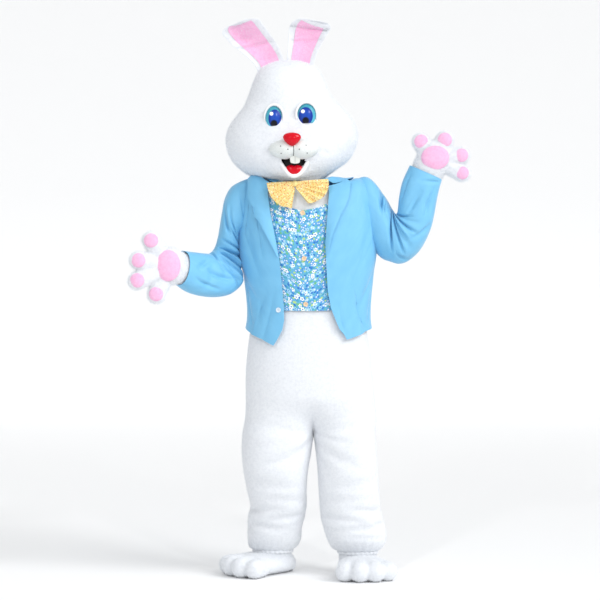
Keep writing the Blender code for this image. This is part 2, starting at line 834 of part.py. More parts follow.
def collar_side(place, angle):
    """The collar stands off the jacket's shoulders and rolls over."""
    start = torso_row(COLLAR_FROM)
    share = (place - start) / (torso_row(COLLAR_TO) - start)
    rise = float(np.interp(angle, [item[0] for item in COLLAR_RISE], [item[1] for item in COLLAR_RISE]))
    lift = jacket_lift(float(at(TORSO, place)[0]))
    roll = rise * math.sin(math.pi * min(max(share, 0), 1) * COLLAR_ROLL)
    point = jacket_side(place, angle) + normal_at(jacket_side, place, angle, 20) * lift
    return point + np.array([0, 0, roll])


def make_collar():
    start = torso_row(COLLAR_FROM)
    end = torso_row(COLLAR_TO)

    def place_of(row, column):
        return start + (end - start) * row, COLLAR_START_ANGLE + COLLAR_SWEEP * column

    points = sheet_points(
        collar_side, place_of, 20, COLLAR_GAP + POPLIN, POPLIN, COLLAR_ROWS, COLLAR_COLUMNS
    )
    return wall("collar", poplin, points, COLLAR_ROWS, COLLAR_COLUMNS)


# Sleeves
SLEEVE_COLUMNS = 10
SLEEVE_L_ROWS = [0, 1, 2, 3, 4, 4.6, 5.2, 5.8, 6.4, 7, 8, 9, 10, 11]
SLEEVE_R_ROWS = [0, 1, 2, 3, 4.5, 6, 6.8, 7.4, 8, 8.6, 9.2, 9.8, 10.4, 11, 12, 13, 14]
SLEEVES = {
    "l": (SLEEVE_L, SLEEVE_L_FOLDS, SLEEVE_L_ROWS, -1),
    "r": (SLEEVE_R, SLEEVE_R_FOLDS, SLEEVE_R_ROWS, 1),
}


def make_sleeve(mark):
    """The sleeve, and a plain solid of its outer side that cuts the armhole."""
    table, folds, places, step = SLEEVES[mark]
    side = tube_between(table, folds)
    rows = len(places) - 1

    def place_of(row, column):
        return places[round(row * rows)], column

    points = sheet_points(side, place_of, step, 0, POPLIN, rows, SLEEVE_COLUMNS, closed=True)
    sleeve = wall(f"jacket_sleeve_{mark}", poplin, points, rows, SLEEVE_COLUMNS, closed=True)
    cutter_rows = [place for place in places if place <= 6]

    def grown(row, column):
        place = cutter_rows[row]
        across = column / SLEEVE_COLUMNS
        return side(place, across) + normal_at(side, place, across, step) * SEAM_GAP

    armhole = loft(f"armhole_{mark}", poplin, grown, len(cutter_rows) - 1, SLEEVE_COLUMNS)
    return sleeve, armhole


# Head
HEAD_COLUMNS = 10
HEAD_ROWS = len(HEAD) - 1
MOUTH_CENTRE = (-34, -176, 63)
MOUTH_RADII = (43, 31, 31)
MOUTH_CUP_CLOTH = 1.8
MOUTH_CUP_LIP = 3.0
MOUTH_CUT = 80.0
MUZZLE_CENTRE = (-33, -184, 112)
MUZZLE_RADII = (87, 48, 38)
MUZZLE_GAP = 0.6
NOSE_CENTRE = (-39, -224, 144)
NOSE_RADII = (46, 22, 24)
TONGUE_CENTRE = (-31, -178, 46)
TONGUE_RADII = (25, 26, 11)
EYE_L_CENTRE = (12, -168, 232)
EYE_R_CENTRE = (-102, -166, 223)
EYE_RADII = (31, 18, 41)
EYE_FLAT_SHARE = -0.7
TOOTH_LEFT_EDGES = {"r": -50.0, "l": -27.7}
TOOTH_WIDTH = 22.0
TOOTH_BACK = -197.0
TOOTH_THICK = 7.0
TOOTH_TOP = 98.0
TOOTH_FOOT = 64.0
# x, z and radius of the lower lip from the wearer's right mouth corner to the left
LOWER_LIP = [
    (-86, 80, 8),
    (-78, 56, 10),
    (-61, 35, 13),
    (-33, 27, 15),
    (-6, 36, 13),
    (12, 57, 10),
    (20, 82, 8),
]
LOWER_LIP_STEPS = 7
LOWER_LIP_SIDES = 6


def head_front(z):
    row = at(HEAD, row_at_height(HEAD, z))
    return row[2] - row[4]


def head_core(name, lift):
    """The outer side of the head as one closed solid, moved out by lift."""

    def point(row, column):
        angle = column * 180 / HEAD_COLUMNS
        return head_side(row, angle) + normal_at(head_side, row, angle, 20) * lift

    return loft(name, plush, point, HEAD_ROWS, HEAD_COLUMNS * 2)


def make_head_halves():
    halves = {}
    for mark, start in (("l", 0), ("r", -180)):
        points = sheet_points(
            head_side,
            lambda row, column: (row * HEAD_ROWS, start + 180 * column),
            20,
            0,
            HEAD_SHELL,
            HEAD_ROWS,
            HEAD_COLUMNS,
            seams=(0, HEAD_COLUMNS),
        )
        halves[mark] = wall(f"head_{mark}", plush, points, HEAD_ROWS, HEAD_COLUMNS)
    return halves


def muzzle_shape(place):
    """Two lobes, with a cleft between them that deepens downwards."""
    cleft = math.exp(-((place.x / 0.22) ** 2))
    place.y *= 1 - 0.2 * cleft
    if place.z < 0:
        place.z *= 1 - 0.3 * cleft
    return place


def eye_shape(place):
    """An eye with a flat lower edge."""
    place.z = max(place.z, EYE_FLAT_SHARE)
    return place


def nose_shape(place):
    """A rounded triangle, point down."""
    place.x *= 0.72 + 0.3 * place.z
    return place


def make_lower_lip():
    """A moulded rim round the lower half of the mouth."""

    def point(row, column):
        x, z, radius = at(LOWER_LIP, row / LOWER_LIP_STEPS * (len(LOWER_LIP) - 1))
        ahead = at(LOWER_LIP, row / LOWER_LIP_STEPS * (len(LOWER_LIP) - 1) + 0.02)
        run = unit(np.array([ahead[0] - x, 0, ahead[1] - z]))
        aside = np.array([run[2], 0, -run[0]])
        turn = 2 * math.pi * column / LOWER_LIP_SIDES
        middle = np.array([x, head_front(max(z, 40)) - 2, z])
        return middle + aside * radius * math.cos(turn) + np.array([0, radius * 1.1 * math.sin(turn), 0])

    return loft("lower_lip", moulded, point, LOWER_LIP_STEPS, LOWER_LIP_SIDES)


def grown(radii, by):
    return tuple(radius + by for radius in radii)


def make_face(halves):
    """The moulded face: each piece is cut where it meets the head, and the mouth is a cup let into it."""
    mouth = ball("mouth_hole", black, MOUTH_CENTRE, MOUTH_RADII, 10, 6)
    for half in halves.values():
        combine(half, mouth)
    core = head_core("head_core", FIT_GAP)
    cup = ball("mouth_lining", black, MOUTH_CENTRE, grown(MOUTH_RADII, -FIT_GAP), 10, 6)
    cup_inner = grown(MOUTH_RADII, -FIT_GAP - MOUTH_CUP_CLOTH)
    combine(cup, ball("mouth_space", black, MOUTH_CENTRE, cup_inner, 10, 6))
    x, y, z = MOUTH_CENTRE
    low = (x - MOUTH_CUT, y - MOUTH_CUT, z - MOUTH_CUT)
    combine(cup, block("mouth_front", black, low, (x + MOUTH_CUT, y + MOUTH_CUP_LIP, z + MOUTH_CUT)))
    muzzle = ball("muzzle", moulded, MUZZLE_CENTRE, MUZZLE_RADII, 16, 9, muzzle_shape)
    combine(muzzle, core)
    muzzle_outer = grown(MUZZLE_RADII, MUZZLE_GAP)
    muzzle_core = ball("muzzle_core", moulded, MUZZLE_CENTRE, muzzle_outer, 16, 9, muzzle_shape)
    nose = ball("nose", red, NOSE_CENTRE, NOSE_RADII, 12, 7, nose_shape)
    combine(nose, muzzle_core)
    combine(nose, core)
    tongue = ball("tongue", red, TONGUE_CENTRE, TONGUE_RADII, 10, 6)
    inner = grown(MOUTH_RADII, -2 * FIT_GAP - MOUTH_CUP_CLOTH)
    combine(tongue, ball("tongue_space", red, MOUTH_CENTRE, inner, 10, 6), "INTERSECT")
    lip = make_lower_lip()
    combine(lip, core)
    combine(lip, muzzle_core)
    combine(lip, ball("lip_space", moulded, MOUTH_CENTRE, MOUTH_RADII, 10, 6))
    for mark, left in TOOTH_LEFT_EDGES.items():
        low = (left, TOOTH_BACK - TOOTH_THICK, TOOTH_FOOT)
        high = (left + TOOTH_WIDTH, TOOTH_BACK, TOOTH_TOP)
        tooth = block(f"tooth_{mark}", ivory, low, high)
        combine(tooth, muzzle_core)
    for mark, centre in (("l", EYE_L_CENTRE), ("r", EYE_R_CENTRE)):
        eye = ball(f"eye_{mark}", blue_eye, centre, EYE_RADII, 12, 8, eye_shape)
        combine(eye, core)
    return core


EAR_COLUMNS = 6
LINING_GAP = 0.4
LINING_ROWS_SHORT = 1


def make_ears(core):
    for mark, table in (("l", EAR_L), ("r", EAR_R)):
        side = ear_side(table)
        rows = len(table) - 1
        points = sheet_points(
            side, lambda row, column: (row * rows, column), 1, 0, EAR_CLOTH, rows, EAR_COLUMNS
        )
        ear = wall(f"ear_{mark}", plush, points, rows, EAR_COLUMNS)
        combine(ear, core)
        last = rows - LINING_ROWS_SHORT
        edge = 1 / EAR_COLUMNS

        def lining_place(row, column):
            return last * row, edge + (1 - 2 * edge) * column

        points = sheet_points(side, lining_place, 1, -EAR_CLOTH - LINING_GAP, LINING, last, EAR_COLUMNS - 2)
        lining = wall(f"ear_lining_{mark}", pink, points, last, EAR_COLUMNS - 2)
        combine(lining, core)


# Bow tie
KNOT_CENTRE = (-29, -123, -17)
KNOT_RADII = (16, 27, 17)
# x, z of each wing's outer edge, from its lowest corner to its highest
BOW_EDGE_R = [(-47, -85), (-83, -73), (-111, -50), (-125, -24), (-128, 2)]
BOW_EDGE_L = [(22, -66), (53, -63), (78, -46), (91, -14), (91, 26)]
BOW_ROOT_LOW = -27.0
BOW_ROOT_HIGH = -3.0
BOW_CLOTH = 2.0
BOW_ROOT = 0.11
BOW_PLEATS = 5
BOW_PLEAT_DEPTH = 5.0
BOW_ROOT_PLEAT = 0.25
BOW_TIP_FORWARD = 8.0
BOW_ROWS = 3
BOW_COLUMNS = 16
BOW_FRONT = -138.0


def bow_side(edge):
    def point(place, across):
        x, z = at(edge, across * (len(edge) - 1))
        root = np.array([KNOT_CENTRE[0], BOW_FRONT, BOW_ROOT_LOW + (BOW_ROOT_HIGH - BOW_ROOT_LOW) * across])
        tip = np.array([x, BOW_FRONT - BOW_TIP_FORWARD, z])
        depth = BOW_PLEAT_DEPTH * (BOW_ROOT_PLEAT + (1 - BOW_ROOT_PLEAT) * place)
        wave = depth * math.cos(2 * math.pi * BOW_PLEATS * across)
        return root + (tip - root) * place + np.array([0, wave, 0])

    return point


def make_bow(suit_core):
    knot = ball("bow_knot", yellow, KNOT_CENTRE, KNOT_RADII, 10, 6)
    combine(knot, suit_core)
    knot_space = ball("bow_knot_space", yellow, KNOT_CENTRE, grown(KNOT_RADII, FIT_GAP), 10, 6)
    for mark, edge in (("l", BOW_EDGE_L), ("r", BOW_EDGE_R)):
        side = bow_side(edge)
        points = sheet_points(
            side,
            lambda row, column: (BOW_ROOT + (1 - BOW_ROOT) * row, column),
            1,
            BOW_CLOTH / 2,
            BOW_CLOTH,
            BOW_ROWS,
            BOW_COLUMNS,
        )
        wing = wall(f"bow_wing_{mark}", yellow, points, BOW_ROWS, BOW_COLUMNS)
        combine(wing, knot_space)


# Gloves
SPLIT_SHIFT = 1.7
GLOVE_CUT = 400.0
GLOVES = {
    "l": (GLOVE_CENTRE_L, LOBES_L, 0.0),
    "r": (GLOVE_CENTRE_R, LOBES_R, 0.4),
}
LOBE_ROOT_SHARE = 0.35
LOBE_ROOT_SIZE = 0.8
WRIST_REACH = 0.8
WRIST_TAPER = 0.2
PALM_RADII = (58, 40, 60)
PAD_LIFT = 3.0
PALM_PAD_RADII = (46, 46, 52)
PALM_PAD_RISE = 6.0
PALM_PAD_BACK = 30.0
PAD_CUT = 90.0
FINGER_PAD_SHARE = 0.62
FINGER_PAD_SUNK = 0.62


def glove_depth(mark, x):
    """The y of the glove's middle plane at an x."""
    centre, _, slope = GLOVES[mark]
    return centre[1] + slope * (x - centre[0])


def glove_shape(mark, name, shrink):
    """Palm, wrist and lobes joined, every side moved in by shrink."""
    centre, lobes, _ = GLOVES[mark]
    table, folds, _, step = SLEEVES[mark]
    side = tube_between(table, folds)
    last = len(table) - 1
    fineness = (6, 4) if shrink > 0 else (8, 6)
    palm_fineness = (8, 5) if shrink > 0 else (12, 8)
    whole = ball(f"{name}_palm", plush, centre, grown(PALM_RADII, -shrink), *palm_fineness)
    lift = -POPLIN - FIT_GAP - shrink
    middle = (side(last, 0) + side(last, 0.5)) / 2
    reach = np.array(centre) - middle

    def wrist(row, column):
        across = column / SLEEVE_COLUMNS
        if row < 2:
            place = last - 1 + row
            start = side(place, across) + normal_at(side, place, across, step) * lift
            if row == 0 and shrink > 0:
                start = start - unit(reach) * GLOVE_CLOTH
            return start
        rim = side(last, across) + normal_at(side, last, across, step) * lift
        return rim + reach * WRIST_REACH + (middle - rim) * WRIST_TAPER

    join = combine(whole, loft(f"{name}_wrist", plush, wrist, 2, SLEEVE_COLUMNS), "UNION", "MANIFOLD")
    for number, (x, z, radius) in enumerate(lobes, 1):
        tip = (centre[0] + x, glove_depth(mark, centre[0] + x), centre[2] + z)
        root_x = centre[0] + x * LOBE_ROOT_SHARE
        root = (root_x, glove_depth(mark, root_x), centre[2] + z * LOBE_ROOT_SHARE)
        size = radius - shrink
        root_size = size * LOBE_ROOT_SIZE
        lobe = capsule(f"{name}_lobe_{number}", plush, root, tip, root_size, size, LOBE_FLATNESS, *fineness)
        combine(join, lobe, "UNION", "MANIFOLD")
    return settled(join, name)


def half_space(mark, name, front):
    """A large block in front of, or behind, the glove's middle plane, half a seam gap away."""
    centre, _, slope = GLOVES[mark]
    size = GLOVE_CUT
    low, high = (-size, 0) if front else (0, size)
    shift = (-SEAM_GAP / 2 if front else SEAM_GAP / 2) - SPLIT_SHIFT
    made = block(name, plush, (-size, low + shift, -size), (size, high + shift, size))
    turn = Matrix.Rotation(math.atan(slope), 4, "Z")
    made.data.transform(Matrix.Translation(Vector(centre) * MM) @ turn)
    return made


def make_glove(mark):
    """Palm and back of a glove, meeting at its middle plane, and the pink pads on the palm."""
    centre, lobes, _ = GLOVES[mark]
    outer = glove_shape(mark, f"glove_outer_{mark}", 0)
    hollow = glove_shape(mark, f"glove_hollow_{mark}", GLOVE_CLOTH)
    pad_space = glove_shape(mark, f"glove_pad_space_{mark}", -FIT_GAP)
    combine(outer, hollow, "DIFFERENCE", "MANIFOLD")
    whole = settled(outer, f"glove_whole_{mark}")
    back = copy_of(whole, f"glove_back_{mark}")
    combine(back, half_space(mark, f"behind_{mark}", False), "INTERSECT", "MANIFOLD")
    palm = copy_of(whole, f"glove_palm_{mark}")
    combine(palm, half_space(mark, f"ahead_{mark}", True), "INTERSECT", "MANIFOLD")
    bpy.data.objects.remove(whole)
    pad_y = centre[1] - PALM_RADII[1] + PALM_PAD_RADII[0] - PAD_LIFT - PALM_PAD_RISE
    pad = ball(f"palm_pad_{mark}", pink, (centre[0], pad_y, centre[2]), PALM_PAD_RADII, 12, 8)
    combine(pad, pad_space)
    low = (centre[0] - PAD_CUT, centre[1] - PALM_PAD_BACK, centre[2] - PAD_CUT)
    high = (centre[0] + PAD_CUT, centre[1] + PAD_CUT, centre[2] + PAD_CUT)
    combine(pad, block(f"palm_pad_back_{mark}", pink, low, high))
    for number, (x, z, radius) in enumerate(lobes, 1):
        depth = radius * LOBE_FLATNESS
        sunk = FINGER_PAD_SUNK * depth
        place = (centre[0] + x, glove_depth(mark, centre[0] + x) - sunk, centre[2] + z)
        size = radius * FINGER_PAD_SHARE
        radii = (size, depth - sunk + PAD_LIFT, size)
        finger_pad = ball(f"finger_pad_{mark}_{number}", pink, place, radii, 7, 5)
        combine(finger_pad, pad_space, "DIFFERENCE", "MANIFOLD")


# Boot covers
BOOTS = {
    "l": (BOOT_L_ANKLE, BOOT_L_HEADING, LEG_L),
    "r": (BOOT_R_ANKLE, BOOT_R_HEADING, LEG_R),
}
BOOT_COLUMNS = 10
BOOT_HOLLOW_COLUMNS = 8
ANKLE_COLUMNS = 12
HEM_INSET = 3.4
BAND_HEIGHT = 8.0
BAND_CLOTH = 3.0
TUBE_TOP = 70.0
TUBE_FOOT = 30.0
BOOT_CUT = 500.0
SOLE_OUTLINE_HEIGHT = 4.0
TOE_LENGTH = 1.2
TOE_SPREAD = 0.8
BAND_GAP = 1.2


def boot_place(mark, ahead, aside, z):
    """A point given ahead of the ankle and aside from it, in the boot's own heading."""
    ankle, heading, leg = BOOTS[mark]
    turn = math.radians(heading)
    forward = np.array([-math.sin(turn), -math.cos(turn), 0])
    across = np.array([math.cos(turn), -math.sin(turn), 0])
    return np.array([ankle[0], ankle[1], z]) + forward * ahead + across * aside


def ankle_ring(mark, lift, z, column, columns):
    """A point of the ring that the hem's wall leaves free, moved out by lift."""
    row = BOOTS[mark][2][-1]
    half = abs(row[1] - row[2]) / 2 - HEM_INSET - FIT_GAP + lift
    depth = (row[4] + row[5]) / 2 - HEM_INSET - FIT_GAP + lift
    middle = (row[1] + row[2]) / 2
    turn = 2 * math.pi * column / columns
    return np.array([middle + half * math.cos(turn), row[3] + depth * math.sin(turn), z])


def boot_shape(mark, name, shrink):
    """Foot, toes and ankle tube joined, every side moved in by shrink."""
    last = len(BOOT) - 1
    columns = BOOT_COLUMNS if shrink == 0 else BOOT_HOLLOW_COLUMNS

    def foot(row, column):
        ahead, half, height = BOOT[row]
        turn = 2 * math.pi * column / columns
        if row in (0, last):
            ahead -= math.copysign(shrink, ahead)
        middle = height / 2
        up = (middle - shrink) * rounded(math.sin(turn))
        return boot_place(mark, ahead, (half - shrink) * rounded(math.cos(turn)), FLOOR + middle + up)

    whole = loft(f"{name}_foot", plush, foot, last, columns)
    hem = BOOTS[mark][2][-1][0]

    def tube(row, column):
        heights = (FLOOR + TUBE_FOOT, hem - BAND_HEIGHT / 2, hem + TUBE_TOP + shrink)
        return ankle_ring(mark, -shrink, heights[row], column, ANKLE_COLUMNS)

    combine(whole, loft(f"{name}_tube", plush, tube, 2, ANKLE_COLUMNS), "UNION")
    toes = TOES if shrink == 0 else []
    for number, (ahead, aside, radius) in enumerate(toes, 1):
        start = boot_place(mark, ahead - radius * TOE_LENGTH, aside * TOE_SPREAD, FLOOR + radius)
        tip = boot_place(mark, ahead, aside, FLOOR + radius)
        toe = capsule(f"{name}_toe_{number}", plush, start, tip, radius, radius, 1, 7, 5)
        combine(whole, toe, "UNION")
    return settled(whole, name)


def make_boot(mark):
    """The boot cover's upper, its sole and the elastic band in the leg's hem above it."""
    outer = boot_shape(mark, f"boot_outer_{mark}", 0)
    hollow = boot_shape(mark, f"boot_hollow_{mark}", BOOT_CLOTH)
    x, y = BOOTS[mark][0]
    low = (x - BOOT_CUT, y - BOOT_CUT)
    high = (x + BOOT_CUT, y + BOOT_CUT)
    sole = copy_of(outer, f"sole_shape_{mark}")
    slab_foot = FLOOR + SOLE_OUTLINE_HEIGHT
    slab = block(f"sole_slab_{mark}", plush, (*low, slab_foot), (*high, slab_foot + SOLE))
    combine(sole, slab, "INTERSECT")
    made = settled(sole, f"sole_{mark}")
    for vert in made.data.vertices:
        vert.co.z -= SOLE_OUTLINE_HEIGHT * MM
    combine(outer, hollow)
    sole_space = block(f"sole_space_{mark}", plush, (*low, FLOOR - SOLE), (*high, FLOOR + SOLE + FIT_GAP))
    combine(outer, sole_space)
    settled(outer, f"foot_upper_{mark}")
    hem = BOOTS[mark][2][-1][0]

    def band(row, column):
        z = hem - BAND_GAP - BAND_HEIGHT * row
        inner = ankle_ring(mark, FIT_GAP, z, column, ANKLE_COLUMNS)
        outside = ankle_ring(mark, FIT_GAP + BAND_CLOTH, z, column, ANKLE_COLUMNS)
        return outside, inner

    wall(f"ankle_band_{mark}", plush, band, 1, ANKLE_COLUMNS, closed=True)


CORE_ROWS = 8


def torso_core():
    """The upper jumpsuit's outer side as one closed solid, moved out by the fitting gap."""

    def point(row, column):
        angle = 90 + column * 90 / SUIT_COLUMNS
        return torso(row, angle) + normal_at(torso, row, angle, 20) * FIT_GAP

    return loft("suit_core", plush, point, CORE_ROWS, SUIT_COLUMNS * 4)


suit = make_jumpsuit()
vest = make_vest()
for number, z in enumerate(VEST_BUTTON_HEIGHTS, 1):
    make_button(f"vest_button_{number}", peach, torso, z, vest_centre_angle(z), vest_lift(z), VEST_BUTTON)
jacket = make_jacket()
make_lapel("l")
make_lapel("r")
make_collar()
button_angle = torso_angle(torso_row(JACKET_BUTTON_Z), JACKET_BUTTON_X)
button_lift = jacket_lift(JACKET_BUTTON_Z)
make_button("jacket_button", pearl, jacket_side, JACKET_BUTTON_Z, button_angle, button_lift, JACKET_BUTTON)
for mark in ("l", "r"):
    sleeve, armhole = make_sleeve(mark)
    for piece in list(suit.values()) + list(vest.values()) + list(jacket.values()):
        near = piece.name.endswith("back") or piece.name.endswith(f"_{mark}")
        if near:
            combine(piece, armhole)
head_core_solid = make_face(make_head_halves())
make_ears(head_core_solid)
make_bow(torso_core())
for mark in ("l", "r"):
    make_glove(mark)
    make_boot(mark)
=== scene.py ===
# %% [markdown]
# # A rabbit mascot costume, worn
#
# The photo shows a whole costume filled out as when worn: a large plush head over a firm shell, a baggy plush
# jumpsuit, a printed vest, an open blue jacket, a dotted bow tie, four-lobed gloves and boot covers.
# The CAD solids fix where everything is. This script dresses them: each cloth piece is made again as a fine
# grid laid over the same surface, with its folds, nap, print and sheen.
#
# Lengths in the tables are millimetres, because a maker's pattern is, and MM turns them into metres.

import json
import math

import bmesh
import bpy
import numpy as np
from mathutils import Matrix
from mathutils import Vector

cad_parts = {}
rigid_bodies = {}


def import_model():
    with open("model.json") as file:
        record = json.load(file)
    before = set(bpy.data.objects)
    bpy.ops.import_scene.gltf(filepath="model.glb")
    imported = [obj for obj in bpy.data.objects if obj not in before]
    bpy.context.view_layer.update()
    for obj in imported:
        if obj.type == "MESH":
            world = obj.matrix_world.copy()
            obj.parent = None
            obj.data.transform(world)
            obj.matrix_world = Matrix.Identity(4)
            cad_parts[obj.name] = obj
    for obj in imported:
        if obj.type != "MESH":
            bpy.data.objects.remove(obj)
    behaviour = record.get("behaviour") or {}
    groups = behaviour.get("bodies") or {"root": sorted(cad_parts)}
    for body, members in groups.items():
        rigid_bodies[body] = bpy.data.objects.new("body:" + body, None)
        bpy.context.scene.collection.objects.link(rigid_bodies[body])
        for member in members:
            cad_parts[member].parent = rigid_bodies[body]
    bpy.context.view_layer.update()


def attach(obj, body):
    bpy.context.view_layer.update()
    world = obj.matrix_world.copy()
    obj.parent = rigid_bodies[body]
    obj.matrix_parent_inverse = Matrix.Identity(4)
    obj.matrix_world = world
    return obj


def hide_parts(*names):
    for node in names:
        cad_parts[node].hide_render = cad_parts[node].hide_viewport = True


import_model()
MM = 0.001
FLOOR = -1410.0


# %% [markdown]
# ## The tables of sizes
#
# These are the same sections as in the part's source: rings of the torso and legs, the sleeves' upper and lower
# edges, the head's rings, and the creases. A crease is a line from one place to another with a width and a depth.

# %% Tables
# z, centre x, centre y, half width, depth in front, depth behind: the jumpsuit from the neck to the crotch
TORSO = [
    (8.7, -12, 0, 78, 74, 74),
    (-8, -8, 4, 84, 78, 80),
    (-13, 0, 8, 128, 96, 98),
    (-22, 8, 8, 184, 112, 112),
    (-52, 14, 6, 220, 126, 124),
    (-100, 17, 4, 230, 134, 130),
    (-170, 18, 2, 233, 140, 130),
    (-250, 18, 0, 229, 140, 126),
    (-330, 20, 0, 216, 137, 124),
    (-410, 21, 2, 205, 134, 126),
    (-480, 21, 4, 203, 136, 134),
    (-540, 20, 6, 212, 142, 142),
    (-610, 21, 8, 222, 146, 150),
    (-680, 22, 8, 228, 146, 153),
    (-750, 25, 8, 231, 142, 152),
    (-815, 29, 8, 234, 136, 147),
    (-870, 34, 8, 238, 130, 140),
    (-905, 38, 8, 240, 125, 132),
]
CROTCH_ROW = 17
BLEND_ROWS = 3.0

# z, outer edge x, inner edge x, centre y, depth in front, depth behind: from above the crotch to the hem
LEG_L = [
    (-750, 256, 38, 8, 118, 126),
    (-815, 260, 38, 8, 116, 124),
    (-870, 260, 38, 8, 114, 122),
    (-905, 261, 38, 8, 112, 120),
    (-960, 265, 46, 9, 110, 116),
    (-1030, 269, 53, 14, 106, 112),
    (-1100, 274, 57, 22, 100, 106),
    (-1155, 279, 60, 30, 94, 100),
    (-1200, 288, 64, 37, 92, 98),
    (-1245, 299, 76, 43, 90, 94),
    (-1285, 302, 88, 48, 84, 88),
    (-1313, 288, 104, 50, 68, 72),
    (-1322, 272, 126, 50, 55, 57),
]
LEG_R = [
    (-750, -206, 38, 8, 118, 126),
    (-815, -211, 38, 8, 116, 124),
    (-870, -217, 38, 8, 114, 122),
    (-905, -219, 38, 8, 112, 120),
    (-960, -221, 30, 10, 110, 116),
    (-1030, -215, 18, 20, 106, 112),
    (-1100, -203, 13, 38, 100, 106),
    (-1155, -192, 14, 58, 94, 100),
    (-1200, -200, 8, 76, 92, 98),
    (-1245, -202, -4, 92, 90, 94),
    (-1288, -203, -6, 104, 84, 88),
    (-1316, -199, -21, 108, 68, 72),
    (-1326, -183, -37, 108, 55, 57),
]
LEG_ABOVE_CROTCH = 3
FIRST_LEG_ROW = CROTCH_ROW - LEG_ABOVE_CROTCH
LAST_LEG_ROW = FIRST_LEG_ROW + len(LEG_L) - 1

# Folds of a leg. From angle, from z, to angle, to z, width, depth: 0 is the outer seam and 90 the front
LEG_FOLDS = [
    (165, -915, 70, -1010, 17, 9),
    (150, -890, 60, -850, 18, 6),
    (20, -1060, 120, -1085, 20, 8),
    (60, -1120, 165, -1140, 16, 7),
    (5, -1175, 90, -1165, 13, 10),
    (80, -1205, 175, -1185, 13, 10),
    (20, -1225, 110, -1240, 13, 9),
    (-30, -1170, -120, -1180, 14, 10),
    (-60, -1225, -160, -1215, 14, 9),
    (-165, -930, -60, -1000, 20, 9),
    (-30, -1050, -140, -1090, 20, 8),
]
LEG_MM_PER_DEGREE = 1.9
ANKLE_GATHER_DEPTH = 5.0

# Folds of the jacket body. From angle, z, to angle, z, width, depth: 0 is the front, 90 the wearer's left
JACKET_FOLDS = [
    (60, -150, 46, -330, 20, 6),
    (84, -300, 52, -440, 22, 7),
    (-60, -150, -48, -330, 20, 6),
    (-84, -320, -50, -430, 22, 7),
    (-40, -380, -62, -500, 20, 6),
    (44, -420, 66, -520, 20, 6),
    (120, -150, 160, -260, 22, 6),
    (-120, -150, -160, -270, 22, 6),
    (140, -330, 165, -500, 26, 8),
    (-135, -330, -160, -490, 26, 8),
    (180, -180, 176, -420, 18, 4),
]
JACKET_MM_PER_DEGREE = 3.3

# z, distance of the jacket from the jumpsuit at that height
JACKET_LIFT = [(-8, 3), (-13, 9), (-22, 14), (-100, 17), (-330, 18), (-410, 20), (-480, 20), (-600, 20)]
VEST_LIFT = [(-15, 3.6), (-24, 7.6), (-100, 7.2), (-330, 7.5), (-480, 8)]

# z, x of the jacket's front edge on the wearer's left, and on the wearer's right
JACKET_EDGE = [
    (-8, 62, -80),
    (-30, 90, -122),
    (-110, 84, -110),
    (-212, 76, -90),
    (-284, 79, -78),
    (-380, 84, -68),
    (-440, 94, -63),
    (-486, 110, -62),
    (-520, 122, -68),
    (-552, 146, -84),
    (-580, 160, -100),
]
JACKET_HEM_SIDE = -516.0
JACKET_HEM_FRONT_L = -556.0
JACKET_HEM_FRONT_R = -576.0
JACKET_HEM_BACK = -548.0

# z, x of the lapel's outer edge on the wearer's left, and on the wearer's right
LAPEL_EDGE = [
    (-14, 136, -150),
    (-36, 158, -180),
    (-70, 150, -174),
    (-120, 124, -152),
    (-190, 96, -118),
    (-262, 84, -86),
]

# Sleeve sections. Upper edge x, y, z, then lower edge x, y, z, then half depth
SLEEVE_L = [
    (186, 6, -46, 224, 6, -176, 60),
    (234, 4, -4, 254, 4, -232, 78),
    (266, 2, -16, 284, 2, -264, 84),
    (298, 0, -48, 314, 0, -276, 84),
    (318, -2, -84, 346, -6, -284, 82),
    (327, -6, -100, 380, -12, -272, 80),
    (334, -10, -104, 422, -18, -232, 78),
    (339, -14, -98, 455, -22, -168, 74),
    (341, -18, -80, 469, -26, -116, 70),
    (345, -22, -42, 478, -30, -64, 64),
    (356, -28, 10, 487, -34, -20, 58),
    (382, -32, 68, 497, -36, 16, 50),
]
SLEEVE_R = [
    (-176, 6, -44, -186, 6, -150, 56),
    (-230, 4, -6, -214, 4, -162, 70),
    (-260, 2, -14, -230, 2, -168, 76),
    (-281, 0, -48, -239, 0, -174, 76),
    (-291, 0, -96, -242, 0, -182, 72),
    (-299, 0, -144, -243, 0, -196, 68),
    (-307, -2, -190, -243, -2, -220, 62),
    (-316, -8, -222, -242, -6, -254, 54),
    (-328, -22, -242, -238, -14, -302, 48),
    (-340, -44, -252, -232, -32, -350, 48),
    (-350, -72, -255, -250, -64, -388, 52),
    (-364, -104, -252, -296, -102, -401, 55),
    (-385, -140, -248, -346, -139, -400, 55),
    (-401, -174, -245, -396, -174, -388, 52),
    (-415, -206, -243, -437, -206, -362, 46),
]

# Folds of a sleeve. From angle, row, to angle, row, width, depth: 0 is the upper edge and 90 the front
SLEEVE_L_FOLDS = [
    (20, 4.6, 110, 3.4, 13, 9),
    (30, 5.4, 130, 5.6, 12, 10),
    (20, 6.4, 100, 7.2, 12, 7),
    (60, 8.2, 90, 10.0, 12, 5),
    (130, 7.6, 120, 9.4, 14, 5),
    (-30, 5.0, -120, 5.2, 14, 9),
    (40, 2.2, 80, 3.4, 14, 6),
]
SLEEVE_R_FOLDS = [
    (150, 7.6, 60, 7.2, 12, 8),
    (160, 8.6, 60, 8.6, 12, 11),
    (160, 9.6, 70, 9.4, 12, 10),
    (30, 9.6, 120, 10.8, 13, 6),
    (60, 11.2, 140, 12.4, 12, 5),
    (50, 4.0, 120, 5.6, 14, 5),
    (-40, 7.4, -130, 8.2, 14, 9),
]
SLEEVE_MM_PER_DEGREE = 1.1
SLEEVE_MM_PER_ROW = 46.0

